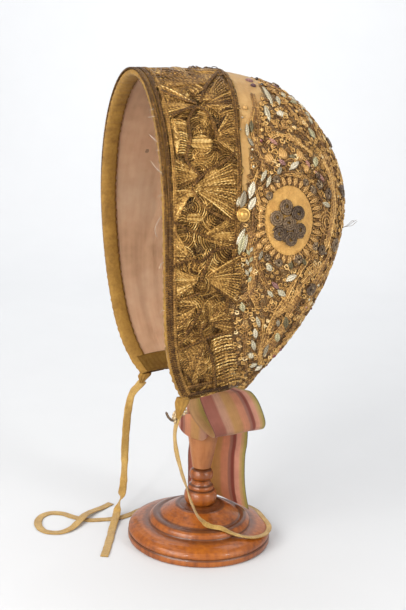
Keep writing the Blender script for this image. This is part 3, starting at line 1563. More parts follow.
    def ground(self, work: ThreadWork, half: Half) -> None:
        """Small bundles of curved threads that lie side by side behind the fans."""
        for _ in range(370):
            side = self.chance.uniform(0.0, 0.995)
            seam = seam_station(side)
            station = self.chance.uniform(0.06, 0.98) * seam
            angle = self.chance.uniform(0, TAU)
            turn = self.chance.uniform(1.0, 2.0)
            tone = self.chance.uniform(0.36, 0.66)
            height = self.chance.uniform(0.35, 0.85) * MM
            for k in range(7):
                radius = (1.6 + 1.5 * k) * MM
                t = np.linspace(0.0, turn, max(int(turn * radius / (1.1 * MM)), 4))
                stations, sides = self.form.local(station, side, polar(radius, angle + t))
                stations = np.clip(stations, 0.004, seam + 0.004)
                line = np.stack([stations, np.clip(sides, 0.0, 1.0)], axis=1)
                lift = height + 0.3 * MM * np.sin(t / turn * math.pi)
                self.lay(work, line, half, self.thread, tone + self.chance.uniform(-0.22, 0.24), lift)

    def crossing(self, work: ThreadWork, half: Half) -> None:
        """Long threads over the top of the head, from the face edge to the seam."""
        for k in range(16):
            side = 0.004 + k * 0.0085
            t = np.linspace(0.03, 0.98, 26)
            wander = 0.004 * wave_noise(t * 3.0 + k, 40 + k)
            line = np.stack([t * seam_station(side), np.abs(side + wander)], axis=1)
            lift = np.full(len(line), self.base_lift) + 0.25 * MM * wave_noise(t * 6 + k, 70 + k)
            self.lay(work, line, half, self.thread, self.chance.uniform(0.30, 0.62), lift)

    def borders(self, work: ThreadWork, half: Half) -> None:
        """The chain along the face edge and the cord along the seam."""
        sides = np.linspace(0.0, 0.99, 260)
        for station, tone, width in ((-0.011, 0.30, 2.4), (0.003, 0.26, 2.4), (0.017, 0.52, 1.8)):
            line = np.stack([np.full_like(sides, station), sides], axis=1)
            self.braid(work, line, half, width * MM, tone, self.base_lift + 0.25 * MM, 4.6 * MM)
        seam = np.array([seam_station(s) for s in sides])
        line = np.stack([seam - 0.006, sides], axis=1)
        self.braid(work, line, half, 2.2 * MM, 0.38, self.base_lift + 0.2 * MM, 5.2 * MM)
        hem = np.linspace(0.01, seam_station(1.0) - 0.01, 60)
        for side, tone in ((0.988, 0.22), (0.968, 0.32)):
            line = np.stack([hem, np.full_like(hem, side)], axis=1)
            self.braid(work, line, half, 2.6 * MM, tone, self.base_lift + 0.3 * MM, 5.0 * MM)

    def tuft(self) -> Piece:
        """A worn tuft of thread that stands up at the top of the band."""
        work = ThreadWork("dressed_lace_tuft", GILT_THREAD)
        for k in range(46):
            station = self.chance.uniform(0.135, 0.20)
            side = self.chance.uniform(-0.03, 0.05)
            radius = self.chance.uniform(1.0, 2.2) * MM
            t = np.linspace(0.0, self.chance.uniform(3.0, 6.5), 10)
            start = self.chance.uniform(0, 6.3)
            flat = np.stack([np.cos(start + t) * radius, np.sin(start + t) * radius * 0.7], axis=1)
            stations, sides = self.form.local(station, side, flat)
            lift = (0.8 + 2.0 * self.chance.uniform(0, 1) * np.sin(t / t[-1] * math.pi)) * MM
            work.add(*self.form.on_silk(stations, sides, lift), 0.7 * MM, self.chance.uniform(0.1, 0.4))
        return work.build()

    def frayed(self) -> Piece:
        """Pale broken threads that stand off the near face edge."""
        work = ThreadWork("dressed_frayed_threads", FRAYED_THREAD, 3)
        for pixels in FRAYED:
            root = self.form.place(*np.array(self.sight.find(*pixels[0]))[:, None], 1.2 * MM)[0]
            line, normals = pinned_line(self.sight, root, pixels)
            work.add(line, normals, 0.27 * MM, self.chance.uniform(0.3, 0.8))
        return work.build()

    def build(self) -> list[Piece]:
        """The lace of both halves, the tuft and the frayed threads."""
        made = [self.frayed()]
        for half in Half:
            self.chance = np.random.default_rng(self.seed)
            net = ThreadWork(f"dressed_lace_net_{half.label}", GILT_THREAD, 3)
            self.ground(net, half)
            made.append(net.build())
            work = ThreadWork(f"dressed_lace_{half.label}", GILT_THREAD)
            self.fans(work, half)
            self.ladders(work, half)
            self.crossing(work, half)
            self.patches(work, half)
            for pixels in GIMPS:
                self.braid(work, self.sight.trace(
                    pixels, 2.0
                ), half, 1.7 * MM, 0.34, self.base_lift + 0.55 * MM, 4.4 * MM)
            self.borders(work, half)
            made.append(work.build())
        made.append(self.tuft())
        return made


# Embroidery

# Padded leaves by tint: x and y of base and tip, width (pixels)
LEAVES = {
    Tint.SILVER: [
        (261, 87, 272.4, 108.4, 5.0), (263.5, 106, 269.2, 122.4, 6.0), (275.6, 97, 278.8, 106.5, 5.0),
        (280, 93.7, 284.5, 98.6, 4.4), (304, 112.5, 308.4, 119, 5.2), (307, 118, 311, 125, 5.0),
        (246, 124, 247, 138, 4.0), (265.9, 169.6, 260.3, 182.3, 4.6), (270, 175, 265.9, 187.9, 4.6),
        (321, 203, 329, 207, 5.4), (239, 196, 236.4, 208, 4.4), (246.6, 233, 242.8, 252, 4.4),
        (252, 246, 249, 252.5, 3.2), (245.4, 259, 248.2, 265.5, 3.2), (251.4, 266, 248.2, 272.5, 3.4),
        (245, 269, 247.8, 276, 3.2), (266, 263.8, 271, 271, 6.4), (276, 289.4, 285.2, 296, 6.4),
        (266.6, 289.8, 272.6, 296.6, 4.6), (255.7, 315.4, 259.2, 327, 4.6), (251.4, 339, 254, 350, 5.4),
        (248.6, 366.4, 257, 362.4, 5.4),
    ],
    Tint.WHITE: [
        (286.5, 97.5, 296, 101.5, 6.4), (297, 102.5, 305, 108.5, 6.4), (298.2, 161.9, 288.3, 170.4, 6.0),
        (253.2, 181, 249, 199, 7.4), (255.4, 196.7, 247.6, 211, 6.6), (244.8, 228, 234.7, 245.7, 5.0),
        (284.2, 281, 296.2, 274.6, 6.4), (254, 327.4, 255.3, 338, 5.6), (253.6, 370, 262, 364, 5.4),
    ],
    Tint.SAGE: [
        (289, 102.5, 296, 105, 4.4), (307, 128.5, 314, 139.5, 8.0), (314.3, 156.7, 314.3, 167.4, 7.4),
        (243.2, 230, 238.6, 254.9, 8.4), (246, 249, 248.8, 255.5, 3.2), (252, 256, 248.6, 262.5, 3.4),
        (250.6, 275.5, 247.4, 282, 3.4), (276.5, 331.4, 276.5, 341.6, 6.4), (241, 301.6, 243, 311.6, 6.2),
    ],
    Tint.OLIVE: [
        (250.5, 121, 251, 134, 4.5), (284.8, 315, 284.8, 328.6, 6.2), (288, 258, 291, 270, 5.0),
        (300, 256, 305, 266, 4.6),
    ],
    Tint.GREY: [
        (247, 138, 253, 148, 3.5), (280.6, 166.8, 276.4, 176, 5.0), (244.4, 190.4, 239.6, 210, 8.0),
        (277.3, 318.4, 277.3, 326, 4.4), (268, 343, 262, 356, 4.2), (262, 250, 258, 260, 4.0),
    ],
    Tint.MAUVE: [(277.8, 159.8, 284.8, 166.1, 5.0), (271, 281.5, 278.5, 289, 5.0)],
    Tint.PINK: [
        (304.5, 160.5, 308.7, 168.2, 4.0), (312.2, 171, 323.4, 182.3, 5.0), (268, 139, 277, 146, 4.4),
    ],
    Tint.AMBER: [(286, 136, 293, 143, 4.4)],
}
# Padded lobes of silk by tint: x and y of the middle, half length, half width (pixels), angle in degrees
LOBES = {
    Tint.TAN: [
        (268.7, 158.4, 5.6, 4.6, 20), (282.7, 154.2, 5.4, 5.2, 0), (299.6, 155.6, 5.4, 4.8, -20),
        (305.9, 169, 3.4, 4.8, 0), (308, 303, 3.2, 2.8, 0), (245, 108, 3.0, 2.4, 0),
        (258, 235, 3.4, 3.0, 0), (259, 246, 3.6, 3.2, 0),
    ],
    Tint.WHITE: [(280, 114, 4.2, 4.2, 0)],
    Tint.SILVER: [(250.8, 355.3, 3.8, 3.4, 0)],
    Tint.OLIVE: [(292, 157, 3.4, 2.6, 0)],
    Tint.MAUVE: [(249, 81, 4.4, 3.6, -20)],
    Tint.PLUM: [(253, 86, 3.4, 2.6, 30)],
    Tint.WINE: [(275.6, 83.5, 4.0, 3.6, 0)],
}
# Dark coils of oxidised thread: middle (pixels), half width, half height (pixels)
COILS = [
    ((317.5, 185), 4.0, 4.6), ((311, 190.5), 3.6, 4.2), ((326, 194), 4.4, 6.0), ((268, 196), 3.2, 4.4),
    ((275, 180), 3.6, 3.6), ((320, 249.5), 4.6, 5.2), ((313.5, 246), 3.4, 4.0), ((297, 259), 4.2, 4.6),
    ((277.5, 262.3), 3.8, 4.0), ((266.5, 257), 2.8, 3.4), ((316, 176), 3.0, 3.4), ((304, 183), 3.2, 3.6),
]
# Beads and small spangles by tint: x and y of the middle, radius (pixels)
BEADS = {
    Tint.GOLD: [
        (261, 131, 2.2), (326.3, 142.8, 1.7), (339, 183, 1.6), (336.6, 192, 1.4), (340, 201.4, 1.6),
        (315.7, 252, 1.5), (321, 256.6, 1.5),
    ],
    Tint.WINE: [
        (260.5, 141.5, 2.0), (311.3, 310.1, 2.0), (280.2, 352, 2.2), (274, 358.6, 2.2), (266, 368.2, 1.8),
    ],
    Tint.BLACK: [(256.5, 75.5, 2.0), (261, 86, 2.2)],
    Tint.GREY: [
        (326.6, 134.5, 1.7), (333.3, 154.3, 1.8), (324.6, 253, 1.4), (251, 158, 1.4), (242, 118, 1.3),
        (240, 130, 1.3), (297, 112, 1.5),
    ],
    Tint.SILVER: [
        (328.5, 149.2, 1.8), (337.5, 187, 1.4), (336.8, 196.6, 1.4), (316, 243, 1.4), (329.3, 247, 1.4),
        (317, 284.8, 1.8), (308, 299, 1.7), (312, 304, 1.7), (252, 150, 1.4), (253, 167, 1.5),
        (301, 110, 1.6),
    ],
    Tint.PINK: [(304.7, 306.4, 1.8)],
    Tint.TAN: [(260.3, 211, 2.4), (258.9, 225.8, 2.4)],
    Tint.AMBER: [(259, 217.5, 2.0)],
}
# Lines of double cord: pixels, strands, tone
CORDS = [
    ([(252, 94), (256, 110), (259, 126), (257, 142), (253, 152)], 3, 0.3),
    ([(254, 108), (252, 126), (255, 145), (262, 160), (262, 172)], 3, 0.28),
    ([(258, 170), (254, 184), (258, 200), (260, 214), (258, 230)], 2, 0.36),
    ([(247, 229), (253, 243), (256, 258), (259, 272), (266, 286), (276, 296)], 4, 0.34),
    ([(250, 232), (249, 250), (253, 268), (252, 286), (244, 300)], 4, 0.3),
    ([(253, 268), (250, 290), (257, 306)], 3, 0.34), ([(246, 292), (240, 300), (236, 296)], 2, 0.4),
    ([(262, 78), (272, 90), (284, 104), (296, 118), (306, 128)], 3, 0.26),
    ([(268, 84), (282, 94), (296, 108), (308, 120), (318, 136), (323, 152)], 3, 0.3),
    ([(323, 152), (331, 170), (333, 190), (334, 208), (331, 224), (327, 238)], 4, 0.36),
    ([(327, 140), (337, 168), (340, 190), (341, 210), (339, 232), (333, 250)], 3, 0.28),
    ([(330, 238), (328, 254), (320, 270), (312, 286)], 4, 0.36),
    ([(334, 252), (326, 270), (316, 286), (308, 300)], 3, 0.3),
    ([(309, 256), (300, 270), (292, 284), (284, 300)], 3, 0.4),
    ([(286, 296), (276, 312), (268, 330), (264, 348)], 3, 0.34),
    ([(300, 296), (288, 314), (278, 336), (268, 352)], 4, 0.3),
    ([(306, 305), (296, 322), (284, 340), (270, 357)], 3, 0.34),
    ([(262, 318), (262, 336), (259, 352), (262, 364)], 3, 0.3),
    ([(243, 312), (246, 332), (244, 350), (247, 372)], 2, 0.36),
    ([(266, 144), (276, 136), (290, 138), (304, 148), (312, 156)], 2, 0.44),
    ([(274, 184), (283, 176), (296, 176), (308, 184)], 2, 0.3),
    ([(262, 160), (275, 168), (290, 160), (308, 166), (318, 172)], 2, 0.22),
    ([(270, 120), (282, 128), (298, 130), (312, 142)], 2, 0.4),
    ([(285.8, 88.6), (296, 95), (304, 102), (310, 109.6), (318.3, 119.8), (322.8, 123.7)], 2, 0.26),
    ([(318, 150), (326, 166), (330, 186), (331, 206), (329, 226), (324, 246)], 3, 0.44),
    ([(322, 160), (329, 178), (333, 200), (332, 220), (327, 242), (320, 256)], 3, 0.52),
    ([(328, 258), (318, 268), (308, 276), (301, 283)], 4, 0.46),
    ([(300, 284), (293, 300), (284, 308), (275, 315)], 4, 0.44),
    ([(288, 316), (276, 334), (264, 348), (256, 360)], 4, 0.42),
]
# Whorls of cord: middle (pixels), outer radius (pixels), turns, tone
WHORLS = [
    ((326, 222), 13.0, 3.2, 0.4), ((322, 162), 8.0, 2.4, 0.36), ((256, 296), 6.0, 2.0, 0.42),
    ((290, 300), 6.5, 2.2, 0.42), ((272, 306), 6.0, 2.0, 0.38), ((312, 268), 7.0, 2.4, 0.4),
    ((254, 166), 4.5, 1.8, 0.4), ((284, 124), 5.0, 2.0, 0.46), ((268, 130), 4.5, 1.8, 0.44),
    ((298, 142), 4.6, 1.8, 0.46), ((262, 345), 4.0, 1.8, 0.36), ((245, 325), 4.6, 1.8, 0.46),
]
MEDALLION = ((288.4, 220.5), 24.0, 35.0)
# A tooth of the medallion's ring: shares of its half width and half height, turn
TOOTH_OUTLINE = [
    (1.0, 1.0, -0.95), (1.28, 1.19, -0.62), (1.42, 1.31, 0.0), (1.28, 1.19, 0.62), (1.0, 1.0, 0.95)
]
PLAIN_SILK = [
    (214, 58), (258, 72), (262, 92), (258, 118), (251, 140), (250, 166), (247, 192), (238, 192), (236, 150),
    (238, 118), (226, 88),
]
ROSETTE = (287.6, 223.0)
BUTTON = (0.243, 0.545)
BUTTON_OUTLINE = [
    (4.5, 0.0), (4.7, 0.5), (4.5, 1.0), (4.0, 1.15), (3.6, 1.0), (3.3, 1.5), (2.8, 2.7), (1.9, 3.6),
    (0.9, 3.9),
    (0.0, 4.0),
]
PETAL_STATION = 0.040
PETAL_SIDE = 0.0365
KNOTS = [
    (0.338, 0.083, 3.0), (0.475, 0.185, 4.4), (0.537, 0.300, 4.8), (0.575, 0.450, 4.8), (0.562, 0.617, 4.4)
]


NEIGHBOURS = [(i, j, k) for i in (-1, 0, 1) for j in (-1, 0, 1) for k in (-1, 0, 1)]


@dataclass
class Embroidery:
    """Everything sewn to the crown: leaves, lobes, coils, beads, cords and the medallion."""

    form: CoifForm
    sight: Sight
    per_pixel: float = 0.72 * MM
    curl_pitch: float = 3.2 * MM
    lobe_height: float = 1.5 * MM
    teeth: int = 30
    seed: int = 9
    keep_out: list[tuple[Array, float]] = field(default_factory=list)

    def __post_init__(self) -> None:
        """Start the random draws."""
        self.chance = np.random.default_rng(self.seed)

    def spot(self, x: float, y: float) -> Array:
        """Station and side of a pixel."""
        return np.array(self.sight.find(x, y))

    def block(self, half: Half, where: Array, radius: float) -> None:
        """Keep the small curls of the ground away from a place; both halves share the left one's places."""
        if half is Half.LEFT:
            self.keep_out.append((self.form.place(*where[:, None])[0], radius))

    def flat_between(self, start: Array, end: Array) -> tuple[Array, Array]:
        """Middle of two places, and the flat step from it to the second."""
        middle = (start + end) / 2.0
        steps = self.form.steps(*middle)
        return middle, np.linalg.solve(steps, (end - middle))

    def leaf(self, work: Appliques, half: Half, start: Point, end: Point, width: float, tint: Tint) -> None:
        """A padded leaf: pointed at both ends, with a groove down its middle."""
        base, tip = self.spot(*start), self.spot(*end)
        middle, reach = self.flat_between(base, tip)
        length = float(np.linalg.norm(reach))
        if length < 1e-6:
            return
        axis = reach / length
        normal = np.array([-axis[1], axis[0]])
        t = np.linspace(-1.0, 1.0, 11)
        v = np.linspace(-1.0, 1.0, 9)
        grid_t, grid_v = np.meshgrid(t, v, indexing="ij")
        outline = np.clip(1.0 - np.abs(grid_t) ** 1.7, 0.0, 1.0) ** 0.95
        offset = grid_v * outline * width * 0.5 * self.per_pixel
        flat = grid_t[..., None] * reach + offset[..., None] * normal
        stations, sides = self.form.local(middle[0], middle[1], flat.reshape(-1, 2))
        dome = np.sqrt(np.clip(1.0 - grid_v**2, 0.0, 1.0))
        groove = 1.0 - 0.55 * np.exp(-((grid_v / 0.20) ** 2))
        lift = (0.70 + 1.60 * dome * groove * outline**0.5) * MM
        points = self.form.place(stations, sides * half.value, lift.ravel()).reshape(*grid_t.shape, 3)
        along = grid_t * length + np.abs(offset) * 1.2
        work.add_grid(points, along, tint, 0.38 + 0.68 * dome * groove)
        self.block(half, middle, length * 0.8)

    def lobe(
        self, work: Appliques, half: Half, centre: Array, long: float, wide: float, turn: float, tint: Tint
    ) -> None:
        """A padded oval, sewn with close stitches."""
        radius = np.linspace(1.0, 0.02, 6)
        angle = np.linspace(0.0, TAU, 21)
        grid_r, grid_a = np.meshgrid(radius, angle, indexing="ij")
        x, y = long * grid_r * np.cos(grid_a), wide * grid_r * np.sin(grid_a)
        cosine, sine = math.cos(turn), math.sin(turn)
        flat = np.stack([x * cosine - y * sine, x * sine + y * cosine], axis=2).reshape(-1, 2)
        stations, sides = self.form.local(centre[0], centre[1], flat)
        dome = np.sqrt(np.clip(1.0 - grid_r**2, 0.0, 1.0))
        lift = (0.2 * MM + self.lobe_height * dome).ravel()
        points = self.form.place(stations, sides * half.value, lift).reshape(*grid_r.shape, 3)
        work.add_grid(points, x + y * 0.4, tint, 0.6 + 0.45 * dome)
        self.block(half, centre, max(long, wide) * 1.1)

    def lay(
        self, work: ThreadWork, half: Half, centre: Array, flat: Array, lift: Array, width: float, tone: float
    ) -> None:
        """Lay one thread through flat offsets round a place."""
        stations, sides = self.form.local(centre[0], centre[1], flat)
        work.add(*self.form.on_silk(stations, sides * half.value, lift), width, tone)

    def curl(
        self, work: ThreadWork, half: Half, centre: Array, long: float, tall: float, turns: float,
        width: float,
        tone: float, lift: float, inner: float = 0.15, phase: float = 0.0,
    ) -> None:
        """A flat spiral of thread round a place."""
        length = turns * math.pi * (long + tall) * (1.0 + inner) / 2.0
        count = max(int(length / (1.35 * width + 0.3 * MM)), 6)
        t = np.linspace(0.0, 1.0, count)
        radius = inner + (1.0 - inner) * t
        angle = phase + t * turns * TAU
        self.lay(work, half, centre, polar(radius, angle, long, tall), lift, width, tone)

    def coil(self, work: ThreadWork, half: Half, centre: Array, long: float, tall: float) -> None:
        """A coil of dark metal thread: a spiral that rises to a rim, round a small hole."""
        t = np.linspace(0.0, 1.0, 34)
        radius = 0.22 + 0.70 * t
        angle = t * 2.6 * TAU + self.chance.uniform(0, 6.3)
        lift = (0.9 + 1.1 * np.sin(np.clip(radius, 0, 1) * 2.6)) * MM
        width = 0.30 * (long + tall) / 2 + 0.2 * MM
        self.lay(
            work, half, centre, polar(radius, angle, long, tall), lift, width, self.chance.uniform(0.3, 0.6)
        )
        for k in range(11):
            turn = TAU * k / 11 + self.chance.uniform(-0.2, 0.2)
            share = np.linspace(0.25, 1.0, 5)
            lift = (1.7 + 0.9 * np.sin(share * 2.4) - 0.9 * share**3) * MM
            flat = polar(share, turn, long, tall)
            self.lay(work, half, centre, flat, lift, 0.46 * MM, self.chance.uniform(0.35, 1.0))
        self.block(half, centre, max(long, tall) * 1.1)

    def bead(self, work: Appliques, half: Half, centre: Array, radius: float, tint: Tint) -> None:
        """A small round bead."""
        up = np.linspace(-0.5 * math.pi, 0.5 * math.pi, 7)
        around = np.linspace(0.0, TAU, 11)
        spot = self.form.place(centre[:1], centre[1:] * half.value, radius * 0.8)[0]
        grid_u, grid_a = np.meshgrid(up, around, indexing="ij")
        points = np.stack(
            [np.cos(grid_u) * np.cos(grid_a), np.cos(grid_u) * np.sin(grid_a), np.sin(grid_u)], axis=2
        )
        work.add_grid(spot + points * radius, grid_u * radius, tint)

    def double_cord(
        self, work: ThreadWork, half: Half, line: Array, strands: int, tone: float, gap: float
    ) -> None:
        """Cords laid side by side along a line."""
        points, normals, across = self.form.beside(line, half)
        for strand in range(strands):
            shift = (strand - (strands - 1) / 2.0) * gap
            wobble = 0.25 * MM * wave_noise(np.linspace(0, len(line) / 7.0, len(line)), strand + 5)
            lift = (0.55 + 0.3 * self.chance.uniform(0, 1)) * MM
            moved = points + across * (shift + wobble)[:, None] + normals * lift
            work.add(moved, normals, gap * 0.88, tone + self.chance.uniform(-0.14, 0.22))

    def medallion(self, half: Half, cords: ThreadWork, satin: Appliques) -> Piece:
        """The golden oval, its ring of teeth and its cord outline."""
        (x, y), wide, tall = MEDALLION

        def around(across: float, up: float, angle: float) -> Point:
            """A pixel on an oval, given as shares of the medallion's half width and half height."""
            return x + wide * across * math.cos(angle), y + tall * up * math.sin(angle)

        rows = np.linspace(0.04, 1.0, 12)
        angles = np.linspace(0.0, TAU, 65)
        stations, sides = np.zeros((12, 65)), np.zeros((12, 65))
        for j, angle in enumerate(angles):
            for i, share in enumerate(rows):
                stations[i, j], sides[i, j] = self.spot(*around(share, share, angle))
        lift = np.full(stations.shape, 0.55 * MM) - 0.3 * MM * (rows[:, None] ** 6)
        lift += 0.12 * MM * wave_noise(angles * 2.2, 51)[None, :] * rows[:, None]
        points = self.form.place(stations, sides * half.value, lift)
        shape = grid_shape(points, silk_map(stations, sides))
        ground = from_bmesh(f"dressed_medallion_{half.label}", shape, MEDALLION_SILK)
        for k in range(self.teeth):
            angle = TAU * (k + 0.5) / self.teeth
            spread = math.pi / self.teeth
            base, tip = [around(a, b, angle) for a, b in ((0.98, 0.98), (1.36, 1.26))]
            self.leaf(satin, half, base, tip, 4.6, Tint.TAN)
            tooth = [around(a, b, angle + turn * spread) for a, b, turn in TOOTH_OUTLINE]
            self.double_cord(cords, half, self.sight.trace(tooth, 1.1), 1, 0.26, 1.0 * MM)
        ring = [around(1.50, 1.38, angle) for angle in np.linspace(0, TAU, 40)]
        self.double_cord(cords, half, self.sight.trace(ring, 1.5), 2, 0.30, 1.0 * MM)
        return ground

    def curls(self, work: ThreadWork, half: Half) -> None:
        """The close curls of cord that fill the ground between the motifs."""
        chance = np.random.default_rng(self.seed + 5)
        number = 30000
        side = chance.uniform(0.0, 0.985, number)
        drift = np.maximum(side - SEAM_DRIFT_FROM, 0.0) / (1.0 - SEAM_DRIFT_FROM)
        low = SEAM_STATION + SEAM_DRIFT * drift + 0.012
        station = low + (0.985 - low) * chance.uniform(0.0, 1.0, number)
        spots = self.form.place(station, side)
        pixels = self.sight.lens.pixel(spots)
        (x, y), wide, tall = MEDALLION
        reach = np.hypot((pixels[:, 0] - x) / (wide * 1.40), (pixels[:, 1] - y) / (tall * 1.28))
        free = ((reach >= 1.0) | (side < 0.3)) & ~(inside(PLAIN_SILK, pixels) & (side < 0.62))
        for spot, radius in self.keep_out:
            free &= np.linalg.norm(spots - spot, axis=1) > radius * 0.55
        places: list[Array] = []
        taken: dict[tuple[int, ...], list[Array]] = {}
        cell = self.curl_pitch
        for index in np.flatnonzero(free):
            spot = spots[index]
            key = tuple(int(v) for v in np.floor(spot / cell))
            near = [p for step in NEIGHBOURS for p in taken.get(tuple(a + b for a, b in zip(key, step)), [])]
            if near and np.min(np.linalg.norm(np.array(near) - spot, axis=1)) < cell:
                continue
            taken.setdefault(key, []).append(spot)
            places.append(np.array([station[index], side[index]]))
        for centre in places:
            kind = chance.uniform()
            size = chance.uniform(1.6, 2.9) * MM
            tone = chance.uniform(0.42, 0.70) if kind < 0.56 else chance.uniform(0.14, 0.36)
            if kind > 0.93:
                tone = chance.uniform(0.80, 0.95)
            self.curl(
                work, half, centre, size, size * chance.uniform(0.6, 1.0), chance.uniform(0.9, 1.6),
                chance.uniform(1.15, 1.6) * MM, tone, chance.uniform(0.45, 1.0) * MM, 0.3,
                chance.uniform(0, 6.3),
            )
        LOG.info("curls on the %s half: %d", half.label, len(places))

    def back_braid(self) -> Piece:
        """The dark braid that runs down the middle of the back."""
        work = ThreadWork("dressed_back_braid", SILK_CORD)
        stations = np.linspace(0.30, 0.99, 420)
        run = np.arange(len(stations)) * 0.7
        for strand in range(4):
            phase = TAU * (run / 6.2 + strand / 4.0)
            sides = 0.010 * np.sin(phase) + 0.002 * np.sin(phase * 0.37)
            lift = (1.0 + 0.5 * np.sin(phase * 2 + strand)) * MM
            work.add(*self.form.on_silk(stations, sides, lift), 1.5 * MM, 0.16 + 0.06 * strand)
        return work.build()

    def loose_threads(self) -> Piece:
        """Broken ends of metal thread that stand off the back of the crown."""
        work = ThreadWork("dressed_loose_threads", DARK_COIL)
        start = self.form.place(np.array([0.60]), np.array([0.34]), 0.8 * MM)[0]
        out = self.form.normal(np.array([0.60]), np.array([0.34]))[0]
        t = np.linspace(0.0, 1.0, 26)
        for k, reach in enumerate((9.0, 7.0, 6.0)):
            waves = [np.sin(t * 5 + k), np.cos(t * 4 + k * 2), np.sin(t * 6 + 1 + k)]
            sway = np.stack(waves, axis=1) * 1.2 * MM
            rise = np.array([0.0, 0.35, 0.55 + 0.2 * k]) * MM * reach
            points = start + out * (t * reach * MM)[:, None] + rise * t[:, None] + sway * t[:, None]
            work.add(points, np.tile(np.array([1.0, 0.0, 0.0]), (26, 1)), 0.28 * MM, 0.6)
        return work.build()

    def build(self) -> list[Piece]:
        """The embroidery of both halves."""
        made: list[Piece] = []
        for half in Half:
            label = half.label
            self.chance = np.random.default_rng(self.seed)
            satin = Appliques(f"dressed_satin_{label}", SATIN_STITCH)
            beads = Appliques(f"dressed_beads_{label}", BEAD_GLASS)
            cords = ThreadWork(f"dressed_cords_{label}", SILK_CORD)
            coils = ThreadWork(f"dressed_coils_{label}", DARK_COIL)
            pixel = self.per_pixel
            for tint, x, y, tip_x, tip_y, width in by_tint(LEAVES):
                self.leaf(satin, half, (x, y), (tip_x, tip_y), width, tint)
            for tint, x, y, long, wide, turn in by_tint(LOBES):
                self.lobe(satin, half, self.spot(x, y), long * pixel, wide * pixel, math.radians(turn), tint)
            for (x, y), wide, tall in COILS:
                self.coil(coils, half, self.spot(x, y), wide * pixel * 1.15, tall * pixel)
            for tint, x, y, radius in by_tint(BEADS):
                self.bead(beads, half, self.spot(x, y), radius * pixel * 0.82, tint)
            for pixels, strands, tone in CORDS:
                line = self.sight.trace(pixels, 1.8)
                self.double_cord(cords, half, line, strands, tone, 1.15 * MM)
                for spot in line[::3]:
                    self.block(half, spot, strands * 0.8 * MM)
            for (x, y), radius, turns, tone in WHORLS:
                centre, size = self.spot(x, y), radius * pixel
                self.curl(cords, half, centre, size, size, turns, 1.25 * MM, tone, 0.6 * MM)
                self.block(half, centre, size * 1.2)
            made.append(self.medallion(half, cords, satin))
            made += self.fittings(half, coils)
            curls = ThreadWork(f"dressed_curls_{label}", SILK_CORD, 3)
            self.curls(curls, half)
            made += [satin.build(), beads.build(), cords.build(), coils.build(), curls.build()]
        made += [self.back_braid(), self.loose_threads()]
        return made

    def fittings(self, half: Half, coils: ThreadWork) -> list[Piece]:
        """Rosette, raised knots and the gilt button."""
        label = half.label
        centre = self.spot(*ROSETTE)
        self.coil(coils, half, centre, 5.5 * MM, 5.5 * MM)
        for k in range(6):
            angle = k * math.pi / 3.0
            spot = centre + np.array([PETAL_STATION * math.cos(angle), PETAL_SIDE * math.sin(angle)])
            self.coil(coils, half, spot, 5.5 * MM, 5.5 * MM)
        for station, side, radius in KNOTS:
            self.coil(coils, half, np.array([station, side]), radius * MM, radius * MM * 1.1)
        shape = spun(BUTTON_OUTLINE, 40)
        where = np.array([BUTTON[0]]), np.array([BUTTON[1] * half.value])
        spot, out = self.form.place(*where, 1.1 * MM)[0], self.form.normal(*where)[0]
        turn = Vector(out).to_track_quat("Z", "Y").to_matrix().to_4x4()
        bmesh.ops.transform(shape, matrix=Matrix.Translation(spot) @ turn, verts=shape.verts[:])
        return [from_bmesh(f"dressed_button_{label}", shape, BUTTON_METAL)]


def by_tint(table: dict[Tint, list[tuple]]) -> Iterable[tuple]:
    """The rows of a table grouped by tint, each with its tint put first."""
    return ((tint, *row) for tint, rows in table.items() for row in rows)


def between(start: Point, end: Point, share: float) -> Point:
    """The pixel at a share of the way between two pixels."""
    return start[0] + (end[0] - start[0]) * share, start[1] + (end[1] - start[1]) * share


def inside(corners: Sequence[Point], spots: Array) -> Array:
    """Which points are inside a polygon."""
    x, y = spots[:, 0], spots[:, 1]
    odd = np.zeros(len(spots), bool)
    for (ax, ay), (bx, by) in zip(corners, corners[1:] + corners[:1]):
        if ay != by:
            odd ^= ((ay > y) != (by > y)) & (x < (bx - ax) * (y - ay) / (by - ay) + ax)
    return odd


# Ribbon and ties

LOOP_ROWS = [
    [(62.0, -24.0, 142.0), (48.0, 8.0, 142.0)], [(44.0, -21.0, 133.5), (38.0, 9.0, 133.5)],
    [(35.0, -18.0, 129.5), (33.6, 16.4, 128.6)], [(29.6, -16.0, 124.5), (30.2, 24.6, 125.0)],
    [(29.7, -12.0, 114.5), (26.5, 32.0, 117.0)], [(31.0, -8.5, 106.0), (28.0, 36.0, 108.0)],
    [(32.0, -4.5, 98.0), (28.5, 38.5, 100.0)], [(30.5, -2.0, 92.5), (27.0, 38.5, 95.0)],
    [(26.5, -2.0, 90.0), (23.5, 37.0, 92.5)], [(22.5, -4.5, 91.0), (20.5, 34.0, 93.5)],
    [(20.0, -9.0, 95.0), (18.0, 29.0, 97.5)], [(18.5, -14.0, 101.0), (16.6, 25.0, 103.5)],
    [(17.8, -18.0, 108.0), (16.4, 20.0, 110.5)], [(17.6, -19.5, 115.0), (16.6, 17.0, 118.0)],
    [(18.4, -20.0, 122.0), (17.2, 15.6, 125.0)], [(20.0, -21.0, 130.0), (18.6, 17.2, 134.0)],
]
